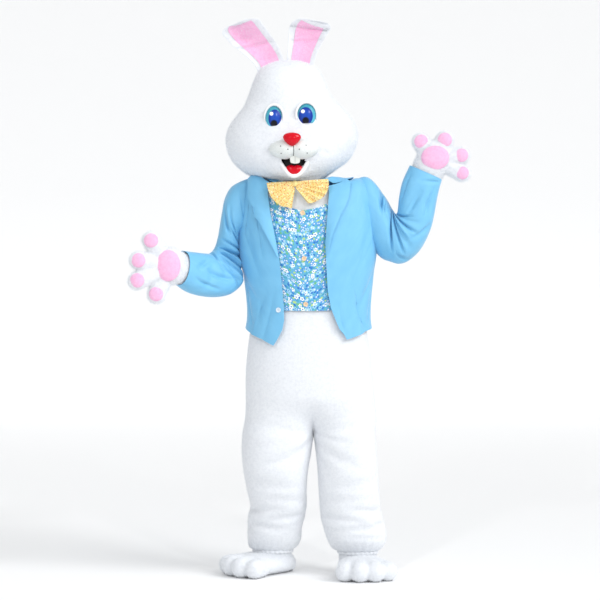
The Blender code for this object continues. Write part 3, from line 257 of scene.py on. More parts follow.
# z, centre x, centre y, half width, depth in front, depth behind: the head from its crown to its neck opening
HEAD = [
    (443, -50, -20, 1, 1, 1),
    (440, -50, -20, 42, 36, 40),
    (428, -50, -20, 78, 66, 76),
    (406, -51, -20, 106, 92, 106),
    (368, -51, -20, 127, 114, 134),
    (320, -48, -20, 146, 130, 156),
    (282, -40, -20, 171, 143, 169),
    (245, -35, -21, 203, 153, 178),
    (205, -38, -22, 227, 161, 185),
    (165, -41, -23, 236, 166, 187),
    (125, -43, -24, 228, 168, 182),
    (88, -47, -25, 208, 162, 172),
    (56, -51, -24, 173, 150, 153),
    (34, -48, -20, 138, 130, 128),
    (19, -32, -10, 104, 102, 98),
    (9, -12, 0, 78.6, 74.6, 74.6),
]

# Ear sections. Left edge x, z, right edge x, z, then centre y and the depth of the cup
EAR_R = [
    (-158, 388, -60, 414, -22, 8),
    (-171, 426, -74, 462, -20, 12),
    (-193, 450, -86, 490, -20, 16),
    (-223, 475, -103, 518, -24, 20),
    (-251, 497, -121, 542, -34, 20),
    (-272, 516, -138, 564, -48, 16),
    (-288, 535, -156, 584, -64, 12),
    (-280, 551, -176, 588, -70, 8),
    (-259, 562, -204, 585, -72, 5),
]
EAR_L = [
    (-62, 404, 34, 402, -22, 8),
    (-58, 456, 45, 456, -18, 14),
    (-54, 497, 62, 497, -14, 20),
    (-52, 533, 80, 530, -12, 20),
    (-50, 561, 95, 553, -16, 16),
    (-42, 578, 99, 563, -26, 12),
    (-24, 590, 91, 575, -34, 8),
    (0, 594, 70, 581, -38, 5),
]

# Glove lobes. Tip x, z and radius, from the palm's middle: the last row is the thumb on the right glove
LOBES_L = [(-50, 60, 31), (36, 66, 32), (97, 10, 30), (100, -54, 29)]
LOBES_R = [(-59, 88, 31), (-102, 18, 31), (-106, -52, 31), (-42, -100, 31)]
GLOVE_CENTRE_L = (470, -44, 92)
GLOVE_CENTRE_R = (-464, -244, -296)
LOBE_FLATNESS = 0.74

# Boot covers: middle of the ankle, and heading in degrees from straight ahead to the wearer's right
BOOT_L_ANKLE = (207, 50)
BOOT_R_ANKLE = (-110, 108)
BOOT_L_HEADING = -7.0
BOOT_R_HEADING = 50.0

# Distance ahead of the ankle, half width, height: the boot cover from heel to toes
BOOT = [
    (-80, 20, 36),
    (-72, 44, 60),
    (-50, 62, 70),
    (-16, 76, 73),
    (40, 86, 75),
    (95, 96, 76),
    (132, 90, 68),
    (150, 60, 46),
]
# Distance ahead, distance aside, radius: the four toes
TOES = [(146, -76, 34), (168, -27, 37), (168, 27, 37), (148, 76, 34)]
PRINT_COTTON = 1.6
POPLIN = 1.6


# %% [markdown]
# ## One way of reading the tables
#
# A garment's surface is easiest to describe by sections, as a pattern maker does, with a smooth curve run
# through them. `at` reads a table between its rows with a Catmull-Rom spline. All the functions take numpy
# arrays, so one call places every point of a grid, which keeps the script quick.

# %% Reading tables and folds
ROUNDNESS = 2.25


def at(table, place):
    """The table's rows at many places, counted in rows, on a smooth curve through the rows."""
    rows = np.asarray(table, float)
    place = np.clip(np.asarray(place, float), 0, len(rows) - 1)
    first = np.minimum(np.floor(place).astype(int), len(rows) - 2)
    part = (place - first)[..., None]
    start = rows[first]
    end = rows[first + 1]
    leave = (end - rows[np.maximum(first - 1, 0)]) / 2
    arrive = (rows[np.minimum(first + 2, len(rows) - 1)] - start) / 2
    square = part * part
    cube = square * part
    near = start * (2 * cube - 3 * square + 1) + leave * (cube - 2 * square + part)
    return near + end * (3 * square - 2 * cube) + arrive * (cube - square)


def column_at(table, z, column):
    """One column of a table that runs downwards, read at the heights z."""
    rows = np.asarray(table, float)
    return np.interp(-np.asarray(z, float), -rows[:, 0], rows[:, column])


def row_at(table, z):
    heights = -np.asarray(table, float)[:, 0]
    return np.interp(-np.asarray(z, float), heights, np.arange(len(heights)))


def between(table, value):
    """A table of two columns, read on straight lines between its rows."""
    rows = np.asarray(table, float)
    return np.interp(value, rows[:, 0], rows[:, 1])


def rounded(value):
    """A cosine or sine turned into that of a slightly square ring."""
    return np.sign(value) * np.abs(value) ** (2 / ROUNDNESS)


def unit(vectors):
    return vectors / np.maximum(np.linalg.norm(vectors, axis=-1, keepdims=True), 1e-12)


def folded(folds, angle, along, per_degree, per_along):
    """How far the creases pull the cloth in. A negative depth is a ridge."""
    pull = np.zeros(np.broadcast(angle, along).shape)
    for angle_a, along_a, angle_b, along_b, width, depth in folds:
        across_mm = ((angle - angle_a + 180) % 360 - 180) * per_degree
        along_mm = (along - along_a) * per_along
        run_x = (angle_b - angle_a) * per_degree
        run_y = (along_b - along_a) * per_along
        share = np.clip((across_mm * run_x + along_mm * run_y) / (run_x**2 + run_y**2), 0, 1)
        away = np.hypot(across_mm - run_x * share, along_mm - run_y * share)
        pull = pull + depth * np.exp(-((away / width) ** 2)) * np.sin(np.pi * (0.12 + 0.76 * share))
    return pull


def normals_of(side, place, across, step):
    """Outward directions of a surface, from points a little way round it."""
    nudge = 1e-3
    along = side(place + nudge, across) - side(place - nudge, across)
    around = side(place, across + step * nudge) - side(place, across - step * nudge)
    return unit(np.cross(along, around))


# %% [markdown]
# ## Cloth from a grid
#
# Every cloth piece starts as a flat grid, like the cut cloth itself, and each of its points is then moved to its
# place on the garment. The grid keeps its own rows and columns, so the piece gets a UV map measured in metres
# along the cloth, which is what a print or a weave needs. A Solidify modifier then gives the wall its thickness,
# inwards, so that the outer side stays where the solid has it.


# %% Pieces of cloth
def link(name, mesh, material):
    thing = bpy.data.objects.new(name, mesh)
    bpy.context.scene.collection.objects.link(thing)
    mesh.name = name
    mesh.materials.clear()
    mesh.materials.append(material)
    mesh.shade_smooth()
    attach(thing, "root")
    return thing


def area_of(mesh):
    return sum(polygon.area for polygon in mesh.polygons)


def cloth(name, point, rows, columns, thick, material, closed=False, outward=None):
    """A sheet whose points come from point(down, across), both from 0 to 1. It is in millimetres."""
    bm = bmesh.new()
    bmesh.ops.create_grid(bm, x_segments=columns, y_segments=rows, size=1)
    flat = np.array([vert.co[:2] for vert in bm.verts])
    across = (flat[:, 0] + 1) / 2
    down = (1 - flat[:, 1]) / 2
    placed = point(down, across) * MM
    uv_layer = bm.loops.layers.uv.new("cloth")
    column = np.rint(across * columns).astype(int)
    row = np.rint(down * rows).astype(int)
    field = np.zeros((rows + 1, columns + 1, 3))
    field[row, column] = placed
    along_row = np.cumsum(np.linalg.norm(np.diff(field, axis=1), axis=2), axis=1)
    along_column = np.cumsum(np.linalg.norm(np.diff(field, axis=0), axis=2), axis=0)
    u = np.concatenate([np.zeros((rows + 1, 1)), along_row], axis=1)
    u = u - u[:, columns // 2][:, None]
    v = np.concatenate([np.zeros((1, columns + 1)), along_column], axis=0)
    for vert, place in zip(bm.verts, placed):
        vert.co = place
    bm.verts.index_update()
    for face in bm.faces:
        for loop in face.loops:
            number = loop.vert.index
            loop[uv_layer].uv = (u[row[number], column[number]], -v[row[number], column[number]])
    if closed:
        bmesh.ops.remove_doubles(bm, verts=bm.verts, dist=1e-6)
    for edge in bm.edges:
        edge.smooth = not edge.is_boundary
    bmesh.ops.recalc_face_normals(bm, faces=bm.faces)
    centre = Vector(placed.mean(axis=0)) if outward is None else Vector(outward) * MM
    facing = sum((face.calc_center_median() - centre).dot(face.normal) * face.calc_area() for face in bm.faces)
    if facing < 0:
        bmesh.ops.reverse_faces(bm, faces=bm.faces)
    mesh = bpy.data.meshes.new(name)
    bm.to_mesh(mesh)
    bm.free()
    thing = link(name, mesh, material)
    if thick:
        wall = thing.modifiers.new("wall", "SOLIDIFY")
        wall.thickness = thick * MM
        wall.offset = -1
        wall.use_even_offset = False
    print(f"{name}: {rows} x {columns}, cloth {area_of(mesh):.4f} m2")
    return thing


# %% [markdown]
# ## Shader maths
#
# A node tree built call by call is hard to read. This small class wraps one socket, so that the maths of a
# material can be written as a Python expression, and `make` adds any other node by its type, settings and inputs.


# %% A socket with arithmetic
class Value:
    """A socket of a node tree."""

    def __init__(self, tree, socket=None):
        self.tree = tree
        self.socket = socket

    def make(self, kind, inputs=None, output=0, **settings):
        node = self.tree.nodes.new(kind)
        for key, value in settings.items():
            setattr(node, key, value)
        for key, value in (inputs or {}).items():
            if isinstance(value, Value):
                self.tree.links.new(value.socket, node.inputs[key])
            else:
                node.inputs[key].default_value = value
        return Value(self.tree, node.outputs[output])

    def math(self, operation, *others):
        inputs = dict(enumerate((self, *others)))
        return self.make("ShaderNodeMath", inputs, operation=operation)

    def __add__(self, other):
        return self.math("ADD", other)

    def __sub__(self, other):
        return self.math("SUBTRACT", other)

    def __mul__(self, other):
        return self.math("MULTIPLY", other)

    def __truediv__(self, other):
        return self.math("DIVIDE", other)

    def step(self, start, end):
        """0 below start, 1 above end, and smooth between them."""
        inputs = {"Value": self, "From Min": start, "From Max": end}
        return self.make("ShaderNodeMapRange", inputs, interpolation_type="SMOOTHSTEP")

    def mix(self, low, high):
        """low where this is 0, high where it is 1: both are colours."""
        return self.make("ShaderNodeMix", {0: self, 6: low, 7: high}, output=2, data_type="RGBA")


def rgb(red, green, blue):
    return (red, green, blue, 1.0)


def material(name, roughness, sheen=0.0, **constants):
    """A Principled material, the start of its expressions and a way to feed its inputs."""
    made = bpy.data.materials.new(name)
    made.use_nodes = True
    tree = made.node_tree
    shader = tree.nodes["Principled BSDF"]
    shader.inputs["Roughness"].default_value = roughness
    shader.inputs["Sheen Weight"].default_value = sheen
    for key, value in constants.items():
        shader.inputs[key.replace("_", " ")].default_value = value

    def feed(key, value):
        if isinstance(value, Value):
            tree.links.new(value.socket, shader.inputs[key])
        else:
            shader.inputs[key].default_value = value

    return made, Value(tree), feed


def bump(start, height, distance, strength=1.0):
    inputs = {"Height": height, "Distance": distance, "Strength": strength}
    return start.make("ShaderNodeBump", inputs)


def noise(start, coordinate, scale, detail=2.0, roughness=0.5):
    inputs = {"Vector": coordinate, "Scale": scale, "Detail": detail, "Roughness": roughness}
    return start.make("ShaderNodeTexNoise", inputs)


def object_coordinate(start):
    return start.make("ShaderNodeTexCoord", output=3)


def cloth_coordinate(start):
    return start.make("ShaderNodeUVMap", uv_map="cloth")


def split(start, vector):
    """The parts of a vector along its axes."""
    return [start.make("ShaderNodeSeparateXYZ", {0: vector}, output=axis) for axis in range(3)]


# %% [markdown]
# ## Plush
#
# Short plush looks matt and soft because its pile catches light at grazing angles. Sheen gives that pale edge,
# and two scales of bump give the pile and the way it lies in tufts. White plush takes a faint cool tint. Between
# the tufts, where the bump's noises are low, a darker tone is painted in as shade.


# %% Plush and other materials
def plush(name, bright, tuft_shade):
    made, start, feed = material(name, 0.95, sheen=0.35, Sheen_Roughness=0.4)
    where = object_coordinate(start)
    tufts = noise(start, where, 95.0, 3.0, 0.6)
    pile = noise(start, where, 420.0, 2.0, 0.7)
    # Painted shade: the second colour darkens the plush where the bump's noises are low, between the tufts.
    feed("Base Color", (tufts * 0.6 + pile * 0.4).step(0.3, 0.62).mix(tuft_shade, bright))
    feed("Normal", bump(start, tufts * 0.45 + pile * 0.55, 0.0030, 0.7))
    return made


white = plush("scene_white_plush", rgb(0.83, 0.852, 0.885), rgb(0.75, 0.775, 0.815))
pink = plush("scene_pink_plush", rgb(0.93, 0.52, 0.74), rgb(0.86, 0.42, 0.66))


def moulded_material():
    made, start, feed = material("scene_moulded", 0.45, sheen=0.1, Specular_IOR_Level=0.4)
    grain = noise(start, object_coordinate(start), 260.0, 2.0)
    feed("Base Color", grain.step(0.3, 0.7).mix(rgb(0.70, 0.735, 0.72), rgb(0.78, 0.81, 0.80)))
    feed("Normal", bump(start, grain, 0.0004, 0.5))
    return made


def plain(name, colour, roughness, coat=0.0, **constants):
    made, start, feed = material(name, roughness, Coat_Weight=coat, **constants)
    feed("Base Color", colour)
    return made


moulded = moulded_material()
rim_white = plain("scene_rim_white", rgb(0.86, 0.87, 0.88), 0.5)
red = plain("scene_gloss_red", rgb(0.62, 0.0, 0.012), 0.12, coat=0.0, Specular_IOR_Level=0.3)
black = plain("scene_black", rgb(0.004, 0.004, 0.005), 0.7)
ivory = plain("scene_ivory", rgb(0.80, 0.82, 0.78), 0.3)
line_black = plain("scene_line", rgb(0.03, 0.03, 0.035), 0.6)
pearl = plain("scene_pearl", rgb(0.72, 0.82, 0.92), 0.2, coat=0.5)
peach = plain("scene_peach", rgb(0.85, 0.60, 0.38), 0.3, coat=0.3)

# %% [markdown]
# ## Blue poplin
#
# The jacket is a light blue poplin with a satin face. Its colour is even, so the look comes from a moderate
# roughness, a little sheen, and a very fine weave: two crossed waves with a pitch under a millimetre.


# %% Blue poplin
def poplin_material():
    made, start, feed = material("scene_poplin", 0.5, sheen=0.25, Sheen_Roughness=0.35, Specular_IOR_Level=0.35)
    where = cloth_coordinate(start)
    u, v, _ = split(start, where)
    weave = (u * 7000.0).math("SINE") * (v * 7000.0).math("SINE")
    slubs = noise(start, where, 22.0, 3.0)
    feed("Base Color", slubs.step(0.2, 0.8).mix(rgb(0.18, 0.50, 0.775), rgb(0.205, 0.54, 0.81)))
    feed("Normal", bump(start, weave * 0.12 + slubs, 0.0016, 0.35))
    return made


poplin = poplin_material()

# %% [markdown]
# ## Printed cotton
#
# The vest's print is a common ditsy pattern: small five-petalled flowers, white, light blue and mid blue, thrown
# over a ground of aqua and green. A Voronoi texture scatters the flowers. Its Position output is the middle of
# each cell, so the vector from it gives both the distance and the angle that petals need.


# %% Flower print
def scatter(start, where, scale, randomness=1.0):
    """Distance from the middle of the nearest cell, the angle round it and the cell's own random numbers."""
    inputs = {"Vector": where, "Scale": scale, "Randomness": randomness}
    cell = start.make("ShaderNodeTexVoronoi", inputs, output=0, voronoi_dimensions="2D").socket.node
    middle = Value(start.tree, cell.outputs["Position"])
    away = start.make("ShaderNodeVectorMath", {0: where, 1: middle}, operation="SUBTRACT")
    x, y, _ = split(start, away)
    distance = (x * x + y * y).math("SQRT")
    angle = y.math("ARCTAN2", x)
    chance = split(start, Value(start.tree, cell.outputs["Color"]))
    return distance, angle, chance


def print_material():
    made, start, feed = material("scene_flower_print", 0.8, sheen=0.1)
    where = cloth_coordinate(start)
    ground_distance, _, ground_chance = scatter(start, where, 95.0)
    ground = ground_chance[0].step(0.45, 0.5).mix(rgb(0.08, 0.38, 0.54), rgb(0.03, 0.18, 0.56))
    ground = ground_chance[1].step(0.66, 0.7).mix(ground, rgb(0.16, 0.50, 0.24))
    ground = ground_chance[2].step(0.78, 0.82).mix(ground, rgb(0.45, 0.66, 0.22))
    ground = ground_distance.step(0.0036, 0.005).mix(ground, rgb(0.12, 0.44, 0.68))
    colour = ground
    for scale, radius, turn, shift in ((50.0, 0.0082, 0.0, 0.0), (56.0, 0.0066, 2.0, 0.37)):
        moved = start.make("ShaderNodeVectorMath", {0: where, 1: (shift, shift * 0.7, 0.0)}, operation="ADD")
        distance, angle, chance = scatter(start, moved, scale, 0.75)
        petals = ((angle * 5.0 + chance[0] * 6.0 + turn).math("COSINE") * 0.16 + 0.84) * radius
        inside = (distance - petals).step(0.0004, -0.0004)
        petal_colour = chance[0].step(0.34, 0.36).mix(rgb(0.93, 0.96, 0.97), rgb(0.10, 0.34, 0.72))
        petal_colour = chance[1].step(0.62, 0.64).mix(petal_colour, rgb(0.36, 0.66, 0.88))
        eye_colour = chance[0].step(0.34, 0.36).mix(rgb(0.06, 0.22, 0.50), rgb(0.92, 0.95, 0.96))
        centre = distance.step(radius * 0.36, radius * 0.28)
        flower = centre.mix(petal_colour, eye_colour)
        shown = inside * chance[2].step(0.10, 0.12)
        colour = shown.mix(colour, flower)
    feed("Base Color", colour)
    u, v, _ = split(start, where)
    weave = (u * 5200.0).math("SINE") * (v * 5200.0).math("SINE")
    feed("Normal", bump(start, weave, 0.0002, 0.4))
    return made


def dotted_material():
    """The bow tie's cotton: small red and orange dots on pale yellow."""
    made, start, feed = material("scene_dotted_yellow", 0.8, sheen=0.15)
    where = cloth_coordinate(start)
    distance, _, chance = scatter(start, where, 115.0, 0.85)
    dot = distance.step(0.0021, 0.0015)
    dot_colour = chance[0].step(0.5, 0.52).mix(rgb(0.72, 0.08, 0.04), rgb(0.80, 0.26, 0.04))
    dot_colour = chance[1].step(0.75, 0.77).mix(dot_colour, rgb(0.93, 0.93, 0.86))
    ground = noise(start, where, 30.0).step(0.3, 0.7).mix(rgb(0.86, 0.68, 0.26), rgb(0.91, 0.76, 0.35))
    feed("Base Color", dot.mix(ground, dot_colour))
    return made


flowers = print_material()
dotted = dotted_material()


# %% [markdown]
# ## The surfaces of the garments
#
# The jumpsuit's torso is a stack of slightly square rings. Below the crotch it turns into two tubes, and a
# smooth share between the two gives the yoke where they part. The vest and the jacket are the same rings,
# moved out, because a fitted garment follows the one under it.


# %% Surfaces
def ring_point(row, angle):
    """A point of a section's ring: angle 0 is the front and 90 the wearer's left."""
    z, x, y, half, front, back = (row[..., i] for i in range(6))
    turn = np.radians(angle)
    depth = np.where(np.cos(turn) > 0, front, back)
    return np.stack([x + half * rounded(np.sin(turn)), y - depth * rounded(np.cos(turn)), z], axis=-1)


def torso(place, angle):
    return ring_point(at(TORSO, place), angle)


def torso_angle(place, x):
    row = at(TORSO, place)
    share = np.clip((x - row[..., 1]) / row[..., 3], -1, 1)
    return np.degrees(np.arcsin(np.sign(share) * np.abs(share) ** (ROUNDNESS / 2)))


def leg_share(place):
    share = np.clip((CROTCH_ROW - place) / BLEND_ROWS, 0, 1)
    return share * share * (3 - 2 * share)


# Finer creases of each leg. From angle, from z, to angle, to z, width, depth
LEG_L_CREASES = [
    (176, -880, 74, -926, 9, 6),
    (172, -925, 128, -1030, 12, 4),
    (110, -1078, 66, -1100, 6, 3),
    (60, -1092, 40, -1086, 6, 2.5),
    (24, -1166, 58, -1176, 7, 6),
    (30, -1196, 70, -1232, 8, -4),
    (10, -1222, 52, -1214, 7, 6),
    (66, -1206, 92, -1246, 8, 3.5),
    (120, -1262, 30, -1270, 7, 4),
    (150, -1240, 100, -1252, 9, 3),
    (90, -620, 96, -840, 26, 3),
    (130, -700, 150, -840, 16, -3),
    (-30, -1166, -80, -1180, 8, 6),
    (-100, -1200, -150, -1190, 8, 5),
    (-20, -1226, -70, -1216, 8, 5),
    (-60, -1090, -120, -1078, 9, 4),
]
LEG_R_CREASES = [
    (176, -884, 120, -978, 10, 7),
    (168, -940, 96, -1010, 16, 4),
    (60, -888, 140, -878, 12, 3),
    (70, -996, 120, -985, 9, 2.5),
    (88, -1090, 130, -1080, 9, 2),
    (4, -1170, 54, -1178, 8, 6),
    (150, -1166, 176, -1150, 9, 5),
    (30, -1212, 90, -1236, 9, 4),
    (8, -1240, 40, -1262, 8, 5),
    (120, -1232, 170, -1206, 9, 4),
    (60, -640, 70, -840, 26, 3),
    (20, -840, 60, -860, 12, 3),
    (-30, -1166, -80, -1180, 8, 6),
    (-100, -1200, -150, -1190, 8, 5),
    (-60, -1090, -120, -1078, 9, 4),
]
HEM_RIPPLES = 23


def jumpsuit(side, face):
    """The jumpsuit's outer side: across runs from the side seam, 0, to the centre seam or inseam, 1."""
    leg = LEG_L if side > 0 else LEG_R
    folds = LEG_FOLDS + (LEG_L_CREASES if side > 0 else LEG_R_CREASES)

    def point(place, across):
        body = leg_share(place)[..., None]
        row = at(TORSO, place)
        turn = across * np.pi / 2
        depth = row[..., 4] if face > 0 else row[..., 5]
        x = row[..., 1] + side * row[..., 3] * rounded(np.cos(turn))
        trunk = np.stack([x, row[..., 2] - face * depth * rounded(np.sin(turn)), row[..., 0]], axis=-1)
        z, outer, inner, y, front, back = (at(leg, place - FIRST_LEG_ROW)[..., i] for i in range(6))
        angle = face * across * 180
        pull = folded(folds, angle, z, LEG_MM_PER_DEGREE, 1.0)
        gather = np.clip((-1262 - z) / 50, 0, 1)
        pull = pull + gather * ANKLE_GATHER_DEPTH * (0.6 + 0.5 * np.sin(np.radians(angle) * HEM_RIPPLES))
        half = (outer - inner) / 2
        half = half - np.sign(half) * pull
        reach = across * np.pi
        depth = (front if face > 0 else back) - pull
        x = (outer + inner) / 2 + half * rounded(np.cos(reach))
        limb = np.stack([x, y - face * depth * rounded(np.sin(reach)), z], axis=-1)
        return body * trunk + (1 - body) * limb

    return point


# %% [markdown]
# ## Jumpsuit
#
# Four panels of plush: a front and a back for each side, sewn at the side seams, the centre seams and the
# inseams. On the real suit an elastic gathers each leg above the foot, and the extra length drops into soft,
# uneven rolls there. Those rolls and the drag lines from the crotch are placed in the tables above.

# %% Jumpsuit
for side, mark in ((1, "l"), (-1, "r")):
    for face, part in ((1, "front"), (-1, "back")):
        outer = jumpsuit(side, face)

        def panel(down, across):
            return outer(LAST_LEG_ROW * down, across)

        leg_centre = (side * 100, 30, -900)
        piece = cloth(f"suit_{part}_{mark}", panel, 160, 38, 3.6, white, outward=leg_centre)
        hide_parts(f"jumpsuit_{part}_{mark}")

# %% [markdown]
# ## Vest
#
# The vest buttons down the centre and follows the torso closely. Its two fronts overlap the trousers with a
# nearly straight lower edge. The print runs over it undistorted because the UV map is in metres of cloth.

# %% Vest
VEST_NECK = [(0, -100), (10, -92), (20, -74), (33, -50), (45, -30), (58, -18), (90, -15)]
VEST_CENTRE_TOP_X = -4.0
VEST_CENTRE_HEM_X = 8.0
VEST_HEM = -446.0


def vest_lift(z):
    return column_at(VEST_LIFT, z, 1)


def jacket_lift(z):
    return column_at(JACKET_LIFT, z, 1)


def vest_centre_angle(z):
    share = np.clip((z - VEST_NECK[0][1]) / (VEST_HEM - VEST_NECK[0][1]), 0, 1)
    x = VEST_CENTRE_TOP_X + (VEST_CENTRE_HEM_X - VEST_CENTRE_TOP_X) * share
    return torso_angle(row_at(TORSO, z), x)


def vest_panel(start, end):
    def point(down, across):
        angle = start + (end - start) * across
        around = np.abs((angle + 180) % 360 - 180)
        top = between(VEST_NECK, around)
        z = top + (VEST_HEM - 5 * np.cos(np.radians(angle) * 2) - top) * down
        centre = vest_centre_angle(z)
        if start == 0:
            angle = centre + (end - centre) * across
        if end == 0:
            angle = start + (centre - start) * across
        place = row_at(TORSO, z)
        lift = vest_lift(z) + 1.2 * np.sin(angle / 17 + z / 90) * np.clip((-z - 200) / 200, 0, 1)
        return torso(place, angle) + normals_of(torso, place, angle, 20) * lift[..., None]

    return point


for name, start, end, columns in (
    ("vest_front_l", 0, 90, 40),
    ("vest_front_r", -90, 0, 40),
    ("vest_back", 90, 270, 60),
):
    panel = vest_panel(start, end)
    piece = cloth(f"{name}_print", panel, 60, columns, PRINT_COTTON, flowers, outward=(10, 0, -250))
    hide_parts(name)

# %% [markdown]
# ## Jacket body
#
# The jacket hangs open. Its fronts fall straight from the shoulders and end in the points that the photo shows,
# and the back hangs to the hip. A satin-faced cloth shows every soft fold, so the tables of folds are joined
# here by narrower ones below the armholes and towards the hem.

# %% Jacket body
JACKET_CREASES = [
    (62, -70, 74, -190, 9, 4),
    (50, -60, 58, -150, 8, -3),
    (72, -170, 52, -300, 10, 3),
    (40, -330, 60, -520, 12, 4),
    (26, -430, 34, -560, 10, 3),
    (80, -380, 70, -500, 10, 4),
    (-58, -60, -66, -180, 9, 4),
    (-48, -90, -40, -260, 9, 4),
    (-70, -150, -54, -280, 10, 3),
    (-32, -380, -44, -560, 12, 4),
    (-80, -360, -66, -500, 10, 5),
    (-56, -420, -58, -540, 10, -3),
    (110, -90, 150, -150, 12, 4),
    (-110, -90, -150, -150, 12, 4),
    (150, -300, 158, -520, 14, 5),
    (-148, -320, -162, -520, 14, 5),
    (172, -60, 176, -200, 10, 3),
]
JACKET_NECK = -9.0
SHOULDER_RISE = 36.0
JACKET_NECK_FRONT = -24.0


def jacket_side(place, angle):
    point = torso(place, angle)
    pull = folded(JACKET_FOLDS + JACKET_CREASES, angle, point[..., 2], JACKET_MM_PER_DEGREE, 1.0)
    turn = np.radians(angle)
    return point - pull[..., None] * np.stack([np.sin(turn), -np.cos(turn), 0 * turn], axis=-1)


def ridden_up(point):
    """The shoulders ride up when the arms are raised."""
    reach = np.abs(point[..., 0] - 17)
    low = np.clip(-10 - point[..., 2], 0, 400)
    rise = SHOULDER_RISE * np.exp(-(((reach - 195) / 58) ** 2) - (low / 48) ** 2)
    moved = point.copy()
    moved[..., 2] += rise
    return moved


def on_jacket(z, angle, lift):
    place = row_at(TORSO, z)
    outward = normals_of(jacket_side, place, angle, 20)
    return ridden_up(jacket_side(place, angle) + outward * (jacket_lift(z) + lift)[..., None])


def jacket_panel(mark):
    def front(down, across):
        out = across if mark == "l" else 1 - across
        top = JACKET_NECK_FRONT + (JACKET_NECK - JACKET_NECK_FRONT) * np.minimum(out * 2, 1)
        hem_front = JACKET_HEM_FRONT_L if mark == "l" else JACKET_HEM_FRONT_R
        hem = JACKET_HEM_SIDE + (hem_front - JACKET_HEM_SIDE) * (1 - out) ** 1.3
        z = top + (hem - top) * down**1.25
        edge = torso_angle(row_at(TORSO, z), column_at(JACKET_EDGE, z, 1 if mark == "l" else 2))
        end = 90 if mark == "l" else -90
        return on_jacket(z, edge + (end - edge) * out, 0 * z)

    def back(down, across):
        hem = JACKET_HEM_SIDE + (JACKET_HEM_BACK - JACKET_HEM_SIDE) * np.sin(np.pi * across)
        z = JACKET_NECK + (hem - JACKET_NECK) * down**1.25
        return on_jacket(z, 90 + 180 * across, 0 * z)

    return back if mark == "back" else front


for mark, name, columns in (("l", "jacket_front_l", 58), ("r", "jacket_front_r", 58), ("back", "jacket_back", 108)):
    piece = cloth(f"{name}_cloth", jacket_panel(mark), 100, columns, POPLIN, poplin, outward=(10, 0, -250))
    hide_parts(name)

# %% [markdown]
# ## Lapels and collar
#
# Each lapel is the front's own edge turned back. It lies close at the fold and rolls clear of the chest at its
# outer edge. The collar carries on from it behind the neck, standing up under the head.

# %% Lapels and collar
LAPEL_FOLD_GAP = 0.7
LAPEL_ROLL = 13.0
LAPEL_ROLL_AT_TIP = 3
LAPEL_TAPER = 4
# Angle round the neck, and how far the collar stands up there
COLLAR_RISE = [(32, 20), (48, 27), (70, 24), (90, 17), (130, 9), (180, 5), (230, 5), (270, 12), (300, 22), (326, 16)]
LAPEL_HEIGHTS = (-24.0, -262.0)
COLLAR_FROM = -10.0
COLLAR_TO = -21.0
COLLAR_START_ANGLE = 32.0
COLLAR_SWEEP = 294.0


def lapel(mark):
    column = 1 if mark == "l" else 2

    def point(down, across):
        out = across if mark == "l" else 1 - across
        z = LAPEL_HEIGHTS[0] + (LAPEL_HEIGHTS[1] - LAPEL_HEIGHTS[0]) * down**1.15
        row = row_at(TORSO, z)
        edge = torso_angle(row, column_at(JACKET_EDGE, z, column))
        outer = torso_angle(row, column_at(LAPEL_EDGE, z, column))
        roll = LAPEL_ROLL_AT_TIP + (LAPEL_ROLL - LAPEL_ROLL_AT_TIP) * np.minimum(1, (1 - down) * LAPEL_TAPER)
        gap = LAPEL_FOLD_GAP + (roll - LAPEL_FOLD_GAP) * np.sin(out * np.pi / 2)
        return on_jacket(z, edge + (outer - edge) * out, gap + POPLIN)

    return point


def collar_point(down, across):
    start, end = row_at(TORSO, COLLAR_FROM), row_at(TORSO, COLLAR_TO)
    place = start + (end - start) * down
    angle = COLLAR_START_ANGLE + COLLAR_SWEEP * across
    z = at(TORSO, place)[..., 0]
    rise = between(COLLAR_RISE, angle)
    point = on_jacket(z, angle, LAPEL_FOLD_GAP + POPLIN + 0 * z)
    point[..., 2] += rise * np.sin(np.pi * down**0.8 * 0.93)
    return point


for mark in ("l", "r"):
    piece = cloth(f"lapel_{mark}_cloth", lapel(mark), 80, 24, POPLIN, poplin, outward=(10, 0, -150))
    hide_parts(f"lapel_{mark}")
piece = cloth("collar_cloth", collar_point, 16, 160, POPLIN, poplin, outward=(10, 0, -60))
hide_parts("collar")


# %% [markdown]
# ## Sleeves
#
# A sleeve is a tube along a bent arm. Each row of its table gives the upper and the lower edge of one section,
# so the elbow's outside is long and its inside short, as on an arm. At the elbow the spare cloth on the inside
# has to go somewhere: it buckles into the deep, sharp creases that the photo shows on both sleeves.


# %% Sleeves
def tube_between(table, folds):
    """A sleeve's outer side: across 0 is its upper edge, and 0.25 its front."""

    def middle(place):
        row = at(table, place)
        return (row[..., :3] + row[..., 3:6]) / 2

    def point(place, across):
        row = at(table, place)
        half = (row[..., :3] - row[..., 3:6]) / 2
        run = middle(np.minimum(place + 0.05, len(table) - 1)) - middle(np.maximum(place - 0.05, 0))
        aside = unit(np.cross(unit(half), unit(run)))
        aside = aside * np.where(aside[..., 1:2] > 0, -1, 1)
        turn = across * 2 * np.pi
        pull = folded(folds, np.degrees(turn), place, SLEEVE_MM_PER_DEGREE, SLEEVE_MM_PER_ROW)[..., None]
        size = np.linalg.norm(half, axis=-1, keepdims=True)
        along = unit(half) * (size - pull) * rounded(np.cos(turn))[..., None]
        return middle(place) + along + aside * (row[..., 6:7] - pull) * rounded(np.sin(turn))[..., None]

    return point


